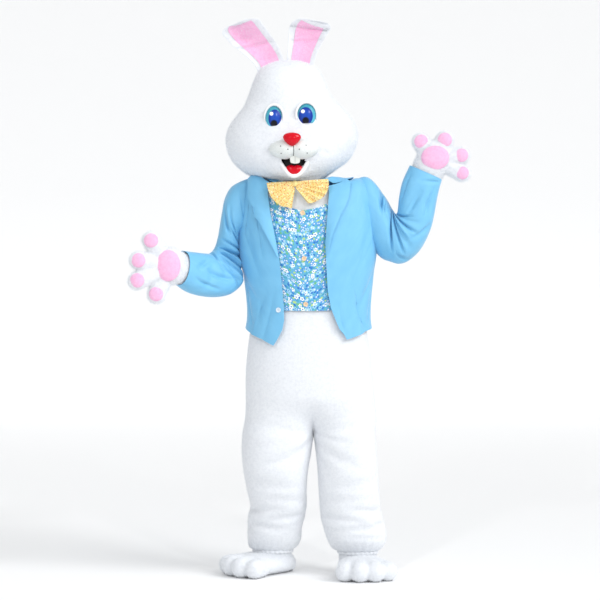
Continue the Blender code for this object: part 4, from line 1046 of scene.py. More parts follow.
# From angle, from row, to angle, to row, width, depth: 0 is the upper edge, 90 the front, 180 the lower edge
SLEEVE_L_CREASES = [
    (8, 2.6, 66, 2.3, 7, 9),
    (14, 3.6, 60, 2.9, 6, -4),
    (6, 4.4, 120, 3.6, 6, 8),
    (10, 5.0, 128, 5.0, 5, 9),
    (8, 5.4, 100, 5.9, 6, -5),
    (14, 5.8, 110, 6.5, 5, 8),
    (16, 6.4, 80, 7.6, 6, 6),
    (128, 4.2, 160, 5.0, 7, 5),
    (110, 6.0, 150, 7.4, 7, 5),
    (70, 7.8, 96, 9.6, 6, 4),
    (120, 8.0, 134, 10.0, 7, 4),
    (30, 8.6, 44, 10.4, 6, 3),
    (90, 10.3, 150, 10.6, 5, 3),
    (-20, 4.8, -110, 4.8, 7, 8),
    (-14, 5.8, -100, 6.2, 7, 7),
    (-40, 7.6, -120, 8.8, 8, 5),
]
SLEEVE_R_CREASES = [
    (166, 6.6, 60, 6.2, 6, 6),
    (172, 7.2, 50, 7.4, 5, 10),
    (170, 7.7, 70, 8.1, 5, -5),
    (174, 8.2, 56, 8.5, 5, 11),
    (168, 8.8, 60, 9.2, 6, 9),
    (150, 9.4, 76, 10.2, 6, 6),
    (20, 9.0, 60, 10.4, 8, 5),
    (120, 10.2, 90, 12.0, 7, 6),
    (140, 11.4, 110, 13.2, 6, 4),
    (60, 11.6, 80, 13.0, 7, 4),
    (40, 3.4, 90, 5.2, 8, 5),
    (70, 3.0, 140, 4.6, 8, 4),
    (100, 4.6, 160, 5.8, 7, 5),
    (-30, 7.2, -120, 7.8, 7, 8),
    (-40, 8.4, -140, 9.0, 7, 8),
    (-60, 10.6, -130, 11.8, 8, 5),
]


def deeper(creases, times):
    return [(*crease[:5], crease[5] * times) for crease in creases]


ARMHOLE_L = (192, 6, -12, 226, 6, -180, 66)
ARMHOLE_R = (-184, 6, -12, -190, 6, -154, 62)
INNER_FILL = 16
CREASE_DEPTH = 2.3


def filled_in(table, first, last):
    """Moves the lower edge of some sections towards the body, where the cloth bunches against it."""
    return [
        (*row[:3], row[3] + INNER_FILL, *row[4:]) if first <= number <= last else row
        for number, row in enumerate(table)
    ]


SLEEVES = {
    "l": ([ARMHOLE_L] + SLEEVE_L[1:], SLEEVE_L_FOLDS + deeper(SLEEVE_L_CREASES, CREASE_DEPTH)),
    "r": (filled_in([ARMHOLE_R] + SLEEVE_R[1:], 2, 9), SLEEVE_R_FOLDS + deeper(SLEEVE_R_CREASES, CREASE_DEPTH)),
}
for mark, (table, folds) in SLEEVES.items():
    surface = tube_between(table, folds)
    last = len(table) - 1

    def tube(down, across):
        return ridden_up(surface(down * last, across % 1.0))

    piece = cloth(f"sleeve_{mark}_cloth", tube, 160, 92, POPLIN, poplin, closed=True, outward=None)
    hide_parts(f"jacket_sleeve_{mark}")


# %% [markdown]
# ## Solid forms from bmesh
#
# Balls that are pushed out of round make the face's moulded parts, the lobes and the buttons. Several of them
# joined in one mesh, then remeshed, melt into one plush form, as stuffing behind a single cover does.


# %% Round forms
def ball_into(bm, centre, radii, shape=None, segments=64, rings=40):
    made = bmesh.ops.create_uvsphere(bm, u_segments=segments, v_segments=rings, radius=1)["verts"]
    for vert in made:
        if shape:
            vert.co = shape(vert.co)
        vert.co = Vector([(c + v * r) * MM for c, v, r in zip(centre, vert.co, radii)])
    return made


def form(name, build, surface, replaces=()):
    """A piece from a function that fills a bmesh. It takes the place of the named CAD nodes."""
    bm = bmesh.new()
    build(bm)
    bmesh.ops.recalc_face_normals(bm, faces=bm.faces)
    mesh = bpy.data.meshes.new(name)
    bm.to_mesh(mesh)
    bm.free()
    thing = link(name, mesh, surface)
    if replaces:
        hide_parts(*replaces)
    return thing


def lobe_into(bm, start, end, start_radius, end_radius, flatness):
    """A ball at the tip drawn out to a smaller one at the root."""
    root, tip = Vector(start), Vector(end)
    run = (tip - root).normalized()
    aside = Vector((0, 1, 0)).cross(run).normalized()
    depth = run.cross(aside)
    for vert in bmesh.ops.create_uvsphere(bm, u_segments=32, v_segments=20, radius=1)["verts"]:
        near = vert.co.z < 0
        radius = start_radius if near else end_radius
        place = aside * vert.co.x + depth * vert.co.y * flatness + run * vert.co.z
        vert.co = ((root if near else tip) + place * radius) * MM


def lofted(bm, sections, sides, place):
    """A closed tube: a grid moved to place(section, turn), with its seam merged and its two ends filled."""
    last = len(sections) - 1
    verts = bmesh.ops.create_grid(bm, x_segments=sides, y_segments=last, size=1)["verts"]
    for vert in verts:
        turn = 2 * math.pi * round((vert.co.x + 1) / 2 * sides) / sides
        vert.co = Vector(place(sections[round((vert.co.y + 1) / 2 * last)], turn)) * MM
    bmesh.ops.remove_doubles(bm, verts=verts, dist=1e-6)
    bmesh.ops.holes_fill(bm, edges=[edge for edge in bm.edges if edge.is_boundary])


def melted(name, build, cell, rounds, surface):
    """Overlapping closed forms turned into one smooth skin."""
    thing = form(name, build, surface)
    mesher = thing.modifiers.new("melt", "REMESH")
    mesher.mode = "VOXEL"
    mesher.voxel_size = cell * MM
    smoother = thing.modifiers.new("smooth", "SMOOTH")
    smoother.iterations = rounds
    ready = thing.evaluated_get(bpy.context.evaluated_depsgraph_get())
    mesh = bpy.data.meshes.new_from_object(ready)
    thing.modifiers.clear()
    thing.data = mesh
    mesh.name = name
    mesh.shade_smooth()
    return thing


def cut_off(thing, place, direction, fill=False):
    """Takes away the side of a plane that the direction points to."""
    where = Vector(place) * MM

    def cut(bm):
        geometry = bm.verts[:] + bm.edges[:] + bm.faces[:]
        made = bmesh.ops.bisect_plane(bm, geom=geometry, plane_co=where, plane_no=direction, clear_outer=True)
        if fill:
            edges = [item for item in made["geom_cut"] if isinstance(item, bmesh.types.BMEdge)]
            bmesh.ops.holes_fill(bm, edges=edges)
        bmesh.ops.recalc_face_normals(bm, faces=bm.faces)

    reshaped(thing, cut)


def reshaped(thing, change):
    """Opens a piece's mesh, lets change(bm) work on it and puts it back."""
    bm = bmesh.new()
    bm.from_mesh(thing.data)
    result = change(bm)
    bm.to_mesh(thing.data)
    bm.free()
    return result


def walled(thing, thick):
    wall = thing.modifiers.new("wall", "SOLIDIFY")
    wall.thickness = thick * MM
    wall.offset = -1


# %% [markdown]
# ## Head
#
# The head is a firm moulded shell covered with short plush, sewn from a left and a right half. The seam runs up
# the forehead. The jaw swells forward round the mouth, where the moulded lower rim sits, and a soft crease runs
# out from each end of the muzzle as a smile does.

# %% Head
SMILE = [(-116, 112, -160, 100, 7, 4), (50, 112, 94, 100, 7, 4), (-130, 84, -118, 66, 6, 3)]


def head_side(place, angle):
    point = ring_point(at(HEAD, place), angle)
    x, z = point[..., 0], point[..., 2]
    front = np.clip((-100 - point[..., 1]) / 40, 0, 1)
    jaw = 26 * np.exp(-(((x + 33) / 62) ** 2) - ((z - 18) / 26) ** 2) * np.clip(np.cos(np.radians(angle)), 0, 1)
    crease = folded(SMILE, x, z, 1.0, 1.0) * front
    seam = 0.3 * np.exp(-((((angle + 180) % 360 - 180) * 2.2 / 4) ** 2)) * np.clip((z - 175) / 40, 0, 1)
    puff = 1.6 * np.sin(x / 31 + z / 47) * np.sin(z / 39 - point[..., 1] / 43)
    point[..., 1] += crease - jaw + seam * np.cos(np.radians(angle))
    outward = unit(point - np.array([-40, -20, 160.0]))
    return point + outward * puff[..., None]


def head_half(start):
    def point(down, across):
        return head_side((len(HEAD) - 1) * down, start + 180 * across)

    return point


# The mouth's middle x, its lowest and highest z, and its half width there and above
MOUTH_X = -33
MOUTH_LOW, MOUTH_HIGH = 31, 98
MOUTH_LOW_HALF, MOUTH_SPREAD, MOUTH_SPREAD_OVER = 16, 26, 34
FACE_FRONT = -90


def open_mouth(bm):
    """Takes out the faces where the mouth's bowl is."""
    gone = []
    for face in bm.faces:
        x, y, z = face.calc_center_median() / MM
        half = MOUTH_LOW_HALF + MOUTH_SPREAD * min(1, (z - MOUTH_LOW) / MOUTH_SPREAD_OVER)
        if y < FACE_FRONT and MOUTH_LOW < z < MOUTH_HIGH and abs(x - MOUTH_X) < half:
            gone.append(face)
    bmesh.ops.delete(bm, geom=gone, context="FACES")
    return len(gone)


for mark, start in (("l", 0), ("r", -180)):
    piece = cloth(f"head_{mark}_plush", head_half(start), 124, 88, 0, white, outward=(-40, -20, 160))
    print(f"  faces taken out for the mouth: {reshaped(piece, open_mouth)}")
    walled(piece, 6)
    piece.modifiers["wall"].use_rim = False
    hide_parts(f"head_{mark}")

# %% [markdown]
# ## Muzzle, nose and mouth
#
# The muzzle is one moulded shell with two lobes and a cleft. Six shallow dark dots stand for whiskers, and a
# thin painted line joins the nose to the mouth. The mouth is a black bowl with two teeth and a glossy tongue.


# %% Muzzle and nose
def muzzle_form(co):
    cleft = math.exp(-((co.x / 0.20) ** 2))
    y = co.y * (1 - 0.20 * cleft)
    z = co.z * (1 - 0.34 * cleft) if co.z < 0 else co.z
    return Vector((co.x, y, z))


def nose_form(co):
    share = (co.z + 1) / 2
    width = 0.44 + 0.62 * share**0.75
    return Vector((co.x * width, co.y, co.z * (0.9 if co.z > 0 else 1.0)))


MUZZLE = ((-33, -184, 112), (88, 50, 38))
NOSE = ((-38.5, -226, 144), (37, 21, 25))
form("muzzle_shell", lambda bm: ball_into(bm, *MUZZLE, muzzle_form, 96, 60), moulded, ["muzzle"])
form("nose_shell", lambda bm: ball_into(bm, *NOSE, nose_form, 64, 40), red, ["nose"])


def on_muzzle(x, z):
    """The y of the muzzle's front at an x and a z."""
    centre, radii = MUZZLE
    side = (x - centre[0]) / radii[0]
    cleft = math.exp(-((side / 0.20) ** 2))
    rise = (z - centre[2]) / radii[2] / ((1 - 0.34 * cleft) if z < centre[2] else 1)
    return centre[1] - radii[1] * (1 - 0.20 * cleft) * math.sqrt(max(0.0, 1 - side * side - rise * rise))


WHISKERS = [(-78, 119), (-53, 108), (-76, 95), (10, 122), (-13, 108), (14, 96)]


def whisker_dots(bm):
    for x, z in WHISKERS:
        ball_into(bm, (x, on_muzzle(x, z) + 0.6, z), (2.3, 1.6, 2.3), None, 16, 10)


form("whisker_dots", whisker_dots, line_black)


def muzzle_line(bm):
    for step in range(40):
        z = 122 - step * 0.95
        x = -34 + 1.6 * math.sin(step / 12)
        ball_into(bm, (x, on_muzzle(x, z) + 0.2, z), (1.3, 1.2, 1.3), None, 10, 6)


form("muzzle_line", muzzle_line, line_black)


# %% [markdown]
# ## Mouth
#
# The rim of the lower jaw is a tube along a curve, and the bowl behind it is the inside of a ball. The teeth
# hang from under the muzzle as two blocks with rounded corners.

# %% Mouth
RIM = [
    (-88, 82, -163, 6), (-79, 66, -170, 7), (-67, 47, -174, 7.5), (-52, 29, -174, 8), (-33, 20, -173, 8.5),
    (-13, 27, -174, 8), (2, 43, -174, 7.5), (13, 63, -170, 7), (22, 80, -163, 6),
]


def tube_along(bm, table, steps, sides):
    """A tube along a curve, from a table of x, z, y and radius. It is a fifth deeper than it is high."""
    places = np.linspace(0, len(table) - 1, steps)
    rows = at(table, places)
    run = (at(table, places + 0.02) - rows)[:, :2]
    run[-1] = run[-2]

    def place(section, turn):
        x, z, y, radius, run_x, run_z = section
        across = radius * math.cos(turn)
        return (x + run_z * across, y + radius * 1.2 * math.sin(turn), z - run_x * across)

    lofted(bm, np.concatenate([rows, unit(run)], axis=1), sides, place)


form("lower_rim", lambda bm: tube_along(bm, RIM, 60, 24), rim_white, ["lower_lip"])


def bowl(bm):
    ball_into(bm, (-33, -148, 66), (47, 18, 37), None, 48, 30)


form("mouth_bowl", bowl, black, ["mouth_lining"])


def tongue_form(co):
    groove = math.exp(-((co.x / 0.16) ** 2))
    return Vector((co.x * (0.86 + 0.14 * co.z), co.y * (1 - 0.10 * groove), co.z * (1 - 0.16 * groove)))


TONGUE = ((-31, -170, 38), (38, 15, 22))
form("tongue_shell", lambda bm: ball_into(bm, *TONGUE, tongue_form, 48, 32), red, ["tongue"])


def tooth_block(left, right):
    def build(bm):
        made = bmesh.ops.create_cube(bm, size=1)["verts"]
        for vert in made:
            narrow = 0.72 if vert.co.z < 0 else 1.0
            inner = left if abs(left + 28) < 1 else right
            x = inner + ((left + right) / 2 + vert.co.x * (right - left) - inner) * narrow
            drop = 4 if vert.co.z < 0 and abs(x + 28) < 8 else 0
            vert.co = Vector((x, -194 + vert.co.y * 8, 82 + vert.co.z * 36 - drop)) * MM
        bmesh.ops.bevel(bm, geom=bm.edges[:], offset=2.6 * MM, segments=5, profile=0.5, affect="EDGES", material=-1)

    return build


form("tooth_right", tooth_block(-50, -28.2), ivory, ["tooth_r"])
form("tooth_left", tooth_block(-27.8, -6), ivory, ["tooth_l"])

# %% [markdown]
# ## Eyes
#
# Each eye is a moulded oval with a flat lower edge, painted in flat colours: a teal band, a deep blue iris, a
# black pupil low in it and a round white highlight. The paint is drawn from distances measured in the eye's own
# UV map, which is in metres from its middle. A white raised brow rim goes round its upper half.


# %% Eyes
def eye_material(name, iris, iris_size, pupil, pupil_radius, light):
    made, start, feed = material(name, 0.22, Specular_IOR_Level=0.25)
    where = start.make("ShaderNodeUVMap", uv_map="face")
    u, v, _ = split(start, where)

    def oval(middle, size, soft):
        x = (u - middle[0] * MM) / (size[0] * MM)
        y = (v - middle[1] * MM) / (size[1] * MM)
        return (x * x + y * y).math("SQRT").step(1 + soft, 1 - soft)

    teal = v.step(-0.030, 0.035).mix(rgb(0.10, 0.46, 0.62), rgb(0.06, 0.34, 0.44))
    coloured = oval(iris, iris_size, 0.04).mix(teal, rgb(0.010, 0.035, 0.30))
    coloured = oval((iris[0], iris[1] + 2), (iris_size[0] * 0.72, iris_size[1] * 0.7), 0.4).mix(
        coloured, rgb(0.014, 0.07, 0.44)
    )
    coloured = oval(pupil, (pupil_radius, pupil_radius), 0.22).mix(coloured, rgb(0.004, 0.005, 0.012))
    coloured = oval(light, (6.6, 6.6), 0.08).mix(coloured, rgb(0.97, 0.98, 1.0))
    feed("Base Color", coloured)
    return made


def eye_build(centre, radii):
    def build(bm):
        def flat(co):
            return Vector((co.x, co.y, max(co.z, -0.70 + 0.06 * co.x)))

        ball_into(bm, centre, radii, flat, 96, 64)
        layer = bm.loops.layers.uv.new("face")
        middle = Vector(centre) * MM
        for face in bm.faces:
            for loop in face.loops:
                away = loop.vert.co - middle
                loop[layer].uv = (away.x, away.z)

    return build


def brow(centre, radii):
    """The rim over an eye: a tube along the upper part of its oval, just outside it."""
    table = []
    for step in range(13):
        turn = math.radians(-18 + 216 * step / 12)
        x = centre[0] + (radii[0] + 4) * math.cos(turn)
        z = centre[2] + (radii[2] + 4) * math.sin(turn)
        thick = 3.0 + 2.2 * math.sin(math.pi * step / 12)
        y = centre[1] - 12 + 0.0012 * (x + 36) ** 2 + (3 if step in (0, 12) else 0)
        table.append((x, z, y, thick))
    return table


EYES = {
    "l": ((12, -172, 232), (32.5, 18, 41), (-3, -4), (25, 31), (-3, -20), 12, (-13, 12)),
    "r": ((-101.5, -170, 223), (29.5, 18, 42), (3, -4), (22.5, 32), (0, -21), 12, (-9, 13)),
}
for mark, (centre, radii, iris, iris_size, pupil, pupil_radius, light) in EYES.items():
    paint = eye_material(f"scene_eye_{mark}", iris, iris_size, pupil, pupil_radius, light)
    form(f"eye_{mark}_painted", eye_build(centre, radii), paint, [f"eye_{mark}"])
    rim = brow(centre, radii)
    form(f"brow_{mark}", lambda bm: tube_along(bm, rim, 48, 16), rim_white)

# %% [markdown]
# ## Ears
#
# Each ear is a cupped, lightly stuffed plush shape with a pink lining sewn inside its rim. The rim stands a
# little proud of the lining, and both bend and crease near the tip. On the wearer's left ear the real tip folds
# forward. Here the lining's slanted upper end and a crease stand for that fold, without a flap of its own.

# %% Ears
EAR_CREASES = {
    "r": [(0.0, 3.4, 0.95, 3.0, 0.07, 7), (0.35, 4.6, 0.45, 6.4, 0.22, 20), (0.1, 1.4, 0.8, 1.2, 0.10, 3)],
    "l": [(0.0, 4.5, 0.9, 4.1, 0.06, 7), (0.1, 2.5, 0.95, 2.7, 0.06, 5), (0.5, 6.4, 0.9, 6.0, 0.14, 8)],
}


def ear_point(table, creases):
    def point(place, across):
        row = at(table, place)
        share = 2 * across - 1
        pull = np.zeros(np.broadcast(place, across).shape)
        for across_a, row_a, across_b, row_b, width, depth in creases:
            x, y = across - across_a, (place - row_a) * 0.3
            run_x, run_y = across_b - across_a, (row_b - row_a) * 0.3
            part = np.clip((x * run_x + y * run_y) / (run_x**2 + run_y**2), 0, 1)
            away = np.hypot(x - run_x * part, y - run_y * part)
            pull = pull + depth * np.exp(-((away / width) ** 2))
        depth = row[..., 4] + row[..., 5] * (1 - share * share) + pull
        x = row[..., 0] + (row[..., 2] - row[..., 0]) * across
        return np.stack([x, depth, row[..., 1] + (row[..., 3] - row[..., 1]) * across], axis=-1)

    return point


def close_ends(bm):
    bmesh.ops.holes_fill(bm, edges=[edge for edge in bm.edges if edge.is_boundary])
    bmesh.ops.recalc_face_normals(bm, faces=bm.faces)


LINING_SHORT = {"l": 1.1, "r": 0.9}
LINING_SLANT = {"l": 1.5, "r": 0.6}
for mark, table in (("l", EAR_L), ("r", EAR_R)):
    surface = ear_point(table, EAR_CREASES[mark])
    last = len(table) - 1

    def ear_back(down, across):
        """Front and back skins in one closed tube, flat towards its edges."""
        place = last * (1 - down)
        turn = across * 2 * np.pi
        share = 0.5 - 0.5 * np.cos(turn)
        middle = surface(place, share)
        thick = (5.5 + 1.5 * np.sin(np.pi * share)) * np.sin(turn) * np.clip((last - place) / 0.5 + 0.35, 0, 1)
        middle[..., 1] = middle[..., 1] + thick
        return middle

    piece = cloth(f"ear_{mark}_plush", ear_back, 90, 72, 0, white, closed=True)
    reshaped(piece, close_ends)
    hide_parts(f"ear_{mark}")

    def lining(down, across):
        end = last - LINING_SHORT[mark] - LINING_SLANT[mark] * across
        place = end * (1 - down)
        share = 0.17 + 0.66 * across
        point = surface(place, share)
        edge = np.minimum(np.minimum(across, 1 - across) * 6, 1)
        point[..., 1] = point[..., 1] - 7.2 - 1.0 * edge
        return point

    piece = cloth(f"ear_lining_{mark}_plush", lining, 80, 30, 1.5, pink, outward=(0, 300, 480))
    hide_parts(f"ear_lining_{mark}")


# %% [markdown]
# ## Bow tie
#
# Two wings of dotted cotton are gathered hard at the knot, so their pleats are tight there and open out like a
# fan. A wing's surface runs from the knot to its edge with a wave across it, deeper at the edge.

# %% Bow tie
BOW_EDGE_R = [(-40, -92), (-80, -82), (-108, -58), (-122, -30), (-128, -4)]
BOW_EDGE_L = [(18, -76), (50, -66), (78, -44), (90, -14), (88, 12)]
KNOT_CENTRE = (-29, -134, -5)


def wing(edge, seed):
    def point(down, across):
        tip = at(edge, across * (len(edge) - 1))
        root = np.stack([0 * across + KNOT_CENTRE[0], 0 * across - 141, -17 + 20 * across], axis=-1)
        place = (0.07 + 0.93 * down)[..., None]
        wave = 5.2 * (0.3 + 0.7 * down) * np.cos(2 * np.pi * (5 * across + 0.16 * np.sin(seed + 9 * across)))
        wave = wave + 2.0 * down * np.sin(2 * np.pi * 11 * across + seed)
        bulge = 7 * np.sin(np.pi * down * 0.8)
        end = np.stack([tip[..., 0], 0 * across - 146, tip[..., 1]], axis=-1)
        return root + (end - root) * place + np.stack([0 * wave, wave - bulge, 0 * wave], axis=-1)

    return point


for mark, edge, seed in (("l", BOW_EDGE_L, 1.0), ("r", BOW_EDGE_R, 4.0)):
    piece = cloth(f"bow_{mark}_cotton", wing(edge, seed), 32, 128, 1.6, dotted, outward=(-29, 200, -20))
    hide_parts(f"bow_wing_{mark}")


def knot_form(co):
    pleat = 1 + 0.05 * math.cos(co.x * 14)
    return Vector((co.x, co.y * pleat, co.z * pleat))


piece = form("bow_knot_cotton", lambda bm: ball_into(bm, KNOT_CENTRE, (10, 14, 12), knot_form, 48, 30), dotted)
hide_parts("bow_knot")

# %% [markdown]
# ## Gloves
#
# A glove is a palm with four fat lobes. Balls and drawn-out balls overlap there, and remeshing melts them into
# one plush skin. It is opened at the wrist inside the sleeve, given a wall, and five pink pads lie on its palm.


# %% Gloves
PALM_RADII = (58, 40, 60)
GLOVES = {"l": (GLOVE_CENTRE_L, LOBES_L, 0.0), "r": (GLOVE_CENTRE_R, LOBES_R, 0.4)}
PAD_RISE = 4.5
PALM_PADS = {"l": (50, 17, 43), "r": (43, 17, 54)}


def glove_build(mark):
    centre, lobes, slope = GLOVES[mark]
    table = SLEEVES[mark][0]
    cuff = at(table, len(table) - 1)
    before = at(table, len(table) - 2.2)
    middle, inner = (cuff[:3] + cuff[3:6]) / 2, (before[:3] + before[3:6]) / 2
    wrist = np.linalg.norm(cuff[:3] - cuff[3:6]) / 2 - 6

    def build(bm):
        ball_into(bm, centre, (64, 40, 66), None, 48, 32)
        lobe_into(bm, inner, middle * 0.45 + np.array(centre) * 0.55, wrist * 0.96, wrist * 1.03, 0.72)
        for x, z, radius in lobes:
            tip = (centre[0] + x, centre[1] + slope * x, centre[2] + z)
            root = (centre[0] + x * 0.35, centre[1] + slope * x * 0.35, centre[2] + z * 0.35)
            lobe_into(bm, root, tip, radius * 1.08, radius * 1.04, LOBE_FLATNESS)

    return build, inner, middle


def pads(mark):
    centre, lobes, slope = GLOVES[mark]

    def palm(bm):
        ball_into(bm, (centre[0], centre[1] - PALM_RADII[1] + 11, centre[2]), PALM_PADS[mark], None, 48, 30)

    def finger(x, z, radius):
        def build(bm):
            depth = radius * LOBE_FLATNESS
            place = (centre[0] + x * 0.98, centre[1] + slope * x - depth + 6.5, centre[2] + z * 0.98)
            ball_into(bm, place, (radius * 0.8, PAD_RISE + 6, radius * 0.8), None, 32, 20)

        return build

    return palm, [finger(*lobe) for lobe in lobes]


for mark in ("l", "r"):
    build, inner, middle = glove_build(mark)
    piece = melted(f"glove_{mark}_plush", build, 3.9, 9, white)
    cut_off(piece, inner, tuple(unit(inner - middle)))
    walled(piece, 3)
    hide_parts(f"glove_palm_{mark}", f"glove_back_{mark}")
    area = area_of(piece.data)
    print(f"glove_{mark}: cloth {area:.4f} m2")
    palm, fingers = pads(mark)
    form(f"palm_pad_{mark}_plush", palm, pink, [f"palm_pad_{mark}"])
    for number, finger in enumerate(fingers, 1):
        form(f"finger_pad_{mark}_{number}_plush", finger, pink, [f"finger_pad_{mark}_{number}"])


# %% [markdown]
# ## Boot covers
#
# The foot is a low rounded form with four wide toes parted by soft grooves, and a tube round the ankle that goes
# up inside the leg. The same melted form gives the upper, cut off just above the floor, and a thin dark sole.


# %% Boot covers
BOOTS = {"l": (BOOT_L_ANKLE, BOOT_L_HEADING, LEG_L), "r": (BOOT_R_ANKLE, BOOT_R_HEADING, LEG_R)}
sole_dark = plain("scene_sole", rgb(0.42, 0.43, 0.45), 0.8)


def boot_place(mark, ahead, aside, z):
    ankle, heading, leg = BOOTS[mark]
    turn = math.radians(heading)
    x = ankle[0] - math.sin(turn) * ahead + math.cos(turn) * aside
    return (x, ankle[1] - math.cos(turn) * ahead - math.sin(turn) * aside, z)


def boot_build(mark):
    hem = BOOTS[mark][2][-1]

    def shoe(section, turn):
        ahead, half, height = section
        side, up = float(rounded(math.cos(turn))), float(rounded(math.sin(turn)))
        return boot_place(mark, ahead, half * side, FLOOR + height / 2 * (1 + up))

    def build(bm):
        lofted(bm, at(BOOT, np.linspace(0, len(BOOT) - 1, 40)), 48, shoe)
        half = abs(hem[1] - hem[2]) / 2 - 5
        depth = (hem[4] + hem[5]) / 2 - 5
        tube = bmesh.ops.create_cone(bm, cap_ends=True, segments=48, radius1=1, radius2=1, depth=1)["verts"]
        for vert in tube:
            x = (hem[1] + hem[2]) / 2 + half * vert.co.x
            z = FLOOR + 30 if vert.co.z < 0 else hem[0] + 40
            vert.co = Vector((x, hem[3] + depth * vert.co.y, z)) * MM
        for ahead, aside, radius in TOES:
            start = boot_place(mark, ahead - radius * 1.2, aside * 0.8, FLOOR + radius)
            lobe_into(bm, start, boot_place(mark, ahead, aside, FLOOR + radius), radius, radius, 1.0)

    return build


for mark in ("l", "r"):
    ankle = BOOTS[mark][0]
    hem = BOOTS[mark][2][-1][0]
    piece = melted(f"boot_{mark}_plush", boot_build(mark), 4.5, 7, white)
    sole = form(f"sole_{mark}_sheet", lambda bm: bm.from_mesh(piece.data), sole_dark)
    cut_off(sole, (ankle[0], ankle[1], FLOOR + 6), (0, 0, 1), fill=True)
    lowest = min(vert.co.z for vert in sole.data.vertices)
    for vert in sole.data.vertices:
        vert.co.z = (FLOOR + (4.0 if vert.co.z > (FLOOR + 5.5) * MM else 0.0)) * MM
    cut_off(piece, (ankle[0], ankle[1], FLOOR + 4.3), (0, 0, -1))
    cut_off(piece, (ankle[0], ankle[1], hem + 30), (0, 0, 1))
    walled(piece, 4)
    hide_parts(f"foot_upper_{mark}")
    area = area_of(piece.data)
    print(f"boot_{mark}: cloth {area:.4f} m2, lowest {lowest:.4f}")
    area = round(min(area, 0.129), 4)
    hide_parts(f"sole_{mark}")

# %% [markdown]
# ## Ankle bands and buttons
#
# A narrow elastic band closes each leg at its hem. The buttons are turned discs with a raised edge and four
# dark dents for the thread, and each lies on the cloth's own surface, turned to face along its normal.


# %% Ankle bands and buttons
def ankle_band(mark):
    hem = BOOTS[mark][2][-1]

    def point(down, across):
        turn = 2 * np.pi * across
        swell = 2.2 * np.sin(np.pi * down) + 1.1 * np.sin(turn * 26)
        half = abs(hem[1] - hem[2]) / 2 - 0.6 + swell
        depth = (hem[4] + hem[5]) / 2 - 0.6 + swell
        x = (hem[1] + hem[2]) / 2 + half * np.cos(turn)
        return np.stack([x, hem[3] + depth * np.sin(turn), hem[0] + 2.0 - 12 * down], axis=-1)

    return point


for mark in ("l", "r"):
    piece = cloth(f"ankle_band_{mark}_plush", ankle_band(mark), 8, 220, 2.0, white, closed=True)
    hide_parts(f"ankle_band_{mark}")


def button_build(point, outward, radius, thick):
    def build(bm):
        made = bmesh.ops.create_cone(bm, cap_ends=True, segments=40, radius1=1, radius2=1, depth=1)["verts"]
        for vert in made:
            vert.co = Vector((vert.co.x * radius, vert.co.y * radius, vert.co.z * thick)) * MM
        bmesh.ops.bevel(bm, geom=bm.edges[:], offset=0.9 * MM, segments=4, profile=0.5, affect="EDGES", material=-1)
        top = [face for face in bm.faces if len(face.verts) == 40 and face.normal.z > 0.9]
        bmesh.ops.inset_region(bm, faces=top, thickness=0.9 * MM)
        bmesh.ops.translate(bm, verts=list({vert for face in top for vert in face.verts}), vec=(0, 0, -0.7 * MM))
        turn = Vector(outward).to_track_quat("Z", "Y").to_matrix().to_4x4()
        bmesh.ops.transform(bm, matrix=Matrix.Translation(Vector(point) * MM) @ turn, verts=bm.verts)

    return build


def holes_build(point, outward, spread, radius):
    def build(bm):
        side = Vector((1, 0, 0)).cross(Vector(outward)).normalized()
        aside = side.cross(Vector(outward)).normalized()
        for a, b in ((1, 1), (1, -1), (-1, 1), (-1, -1)):
            middle = Vector(point) + side * spread * a + aside * spread * b
            ball_into(bm, tuple(middle), (radius, radius, radius), None, 12, 8)

    return build


def button(name, z, x, lift, side, size, surface, node):
    place = row_at(TORSO, z)
    angle = torso_angle(place, x)
    outward = normals_of(side, place, angle, 20)
    base = side(place, angle)
    point = base + outward * (lift + size[1] / 2 + 0.9)
    form(name, button_build(point, outward, *size), surface, [node])
    top = base + outward * (lift + size[1] + 0.1)
    form(f"{name}_holes", holes_build(top, outward, 1.9, 0.8), line_black)


for number, z in enumerate((-110, -268, -428), 1):
    x = VEST_CENTRE_TOP_X + (VEST_CENTRE_HEM_X - VEST_CENTRE_TOP_X) * (z + 100) / (VEST_HEM + 100) + 2
    name = f"vest_button_{number}"
    button(f"{name}_disc", z, x, float(vest_lift(z)), torso, (8.5, 3.2), peach, name)
lift = float(jacket_lift(-448))
button("jacket_button_disc", -448, -80, lift, jacket_side, (9, 3.4), pearl, "jacket_button")


# %% [markdown]
# ## Short fur
#
# The edge of real plush is never a clean line: the pile stands out from it as a thin fuzz. A strand is one
# narrow triangle, rooted at a random point of a finished piece and leaning a little down and to one side. All the
# strands of a piece are one joined mesh, because thousands of separate objects would be slow. Each piece's share
# is kept small, so that the whole scene stays well under its limit.


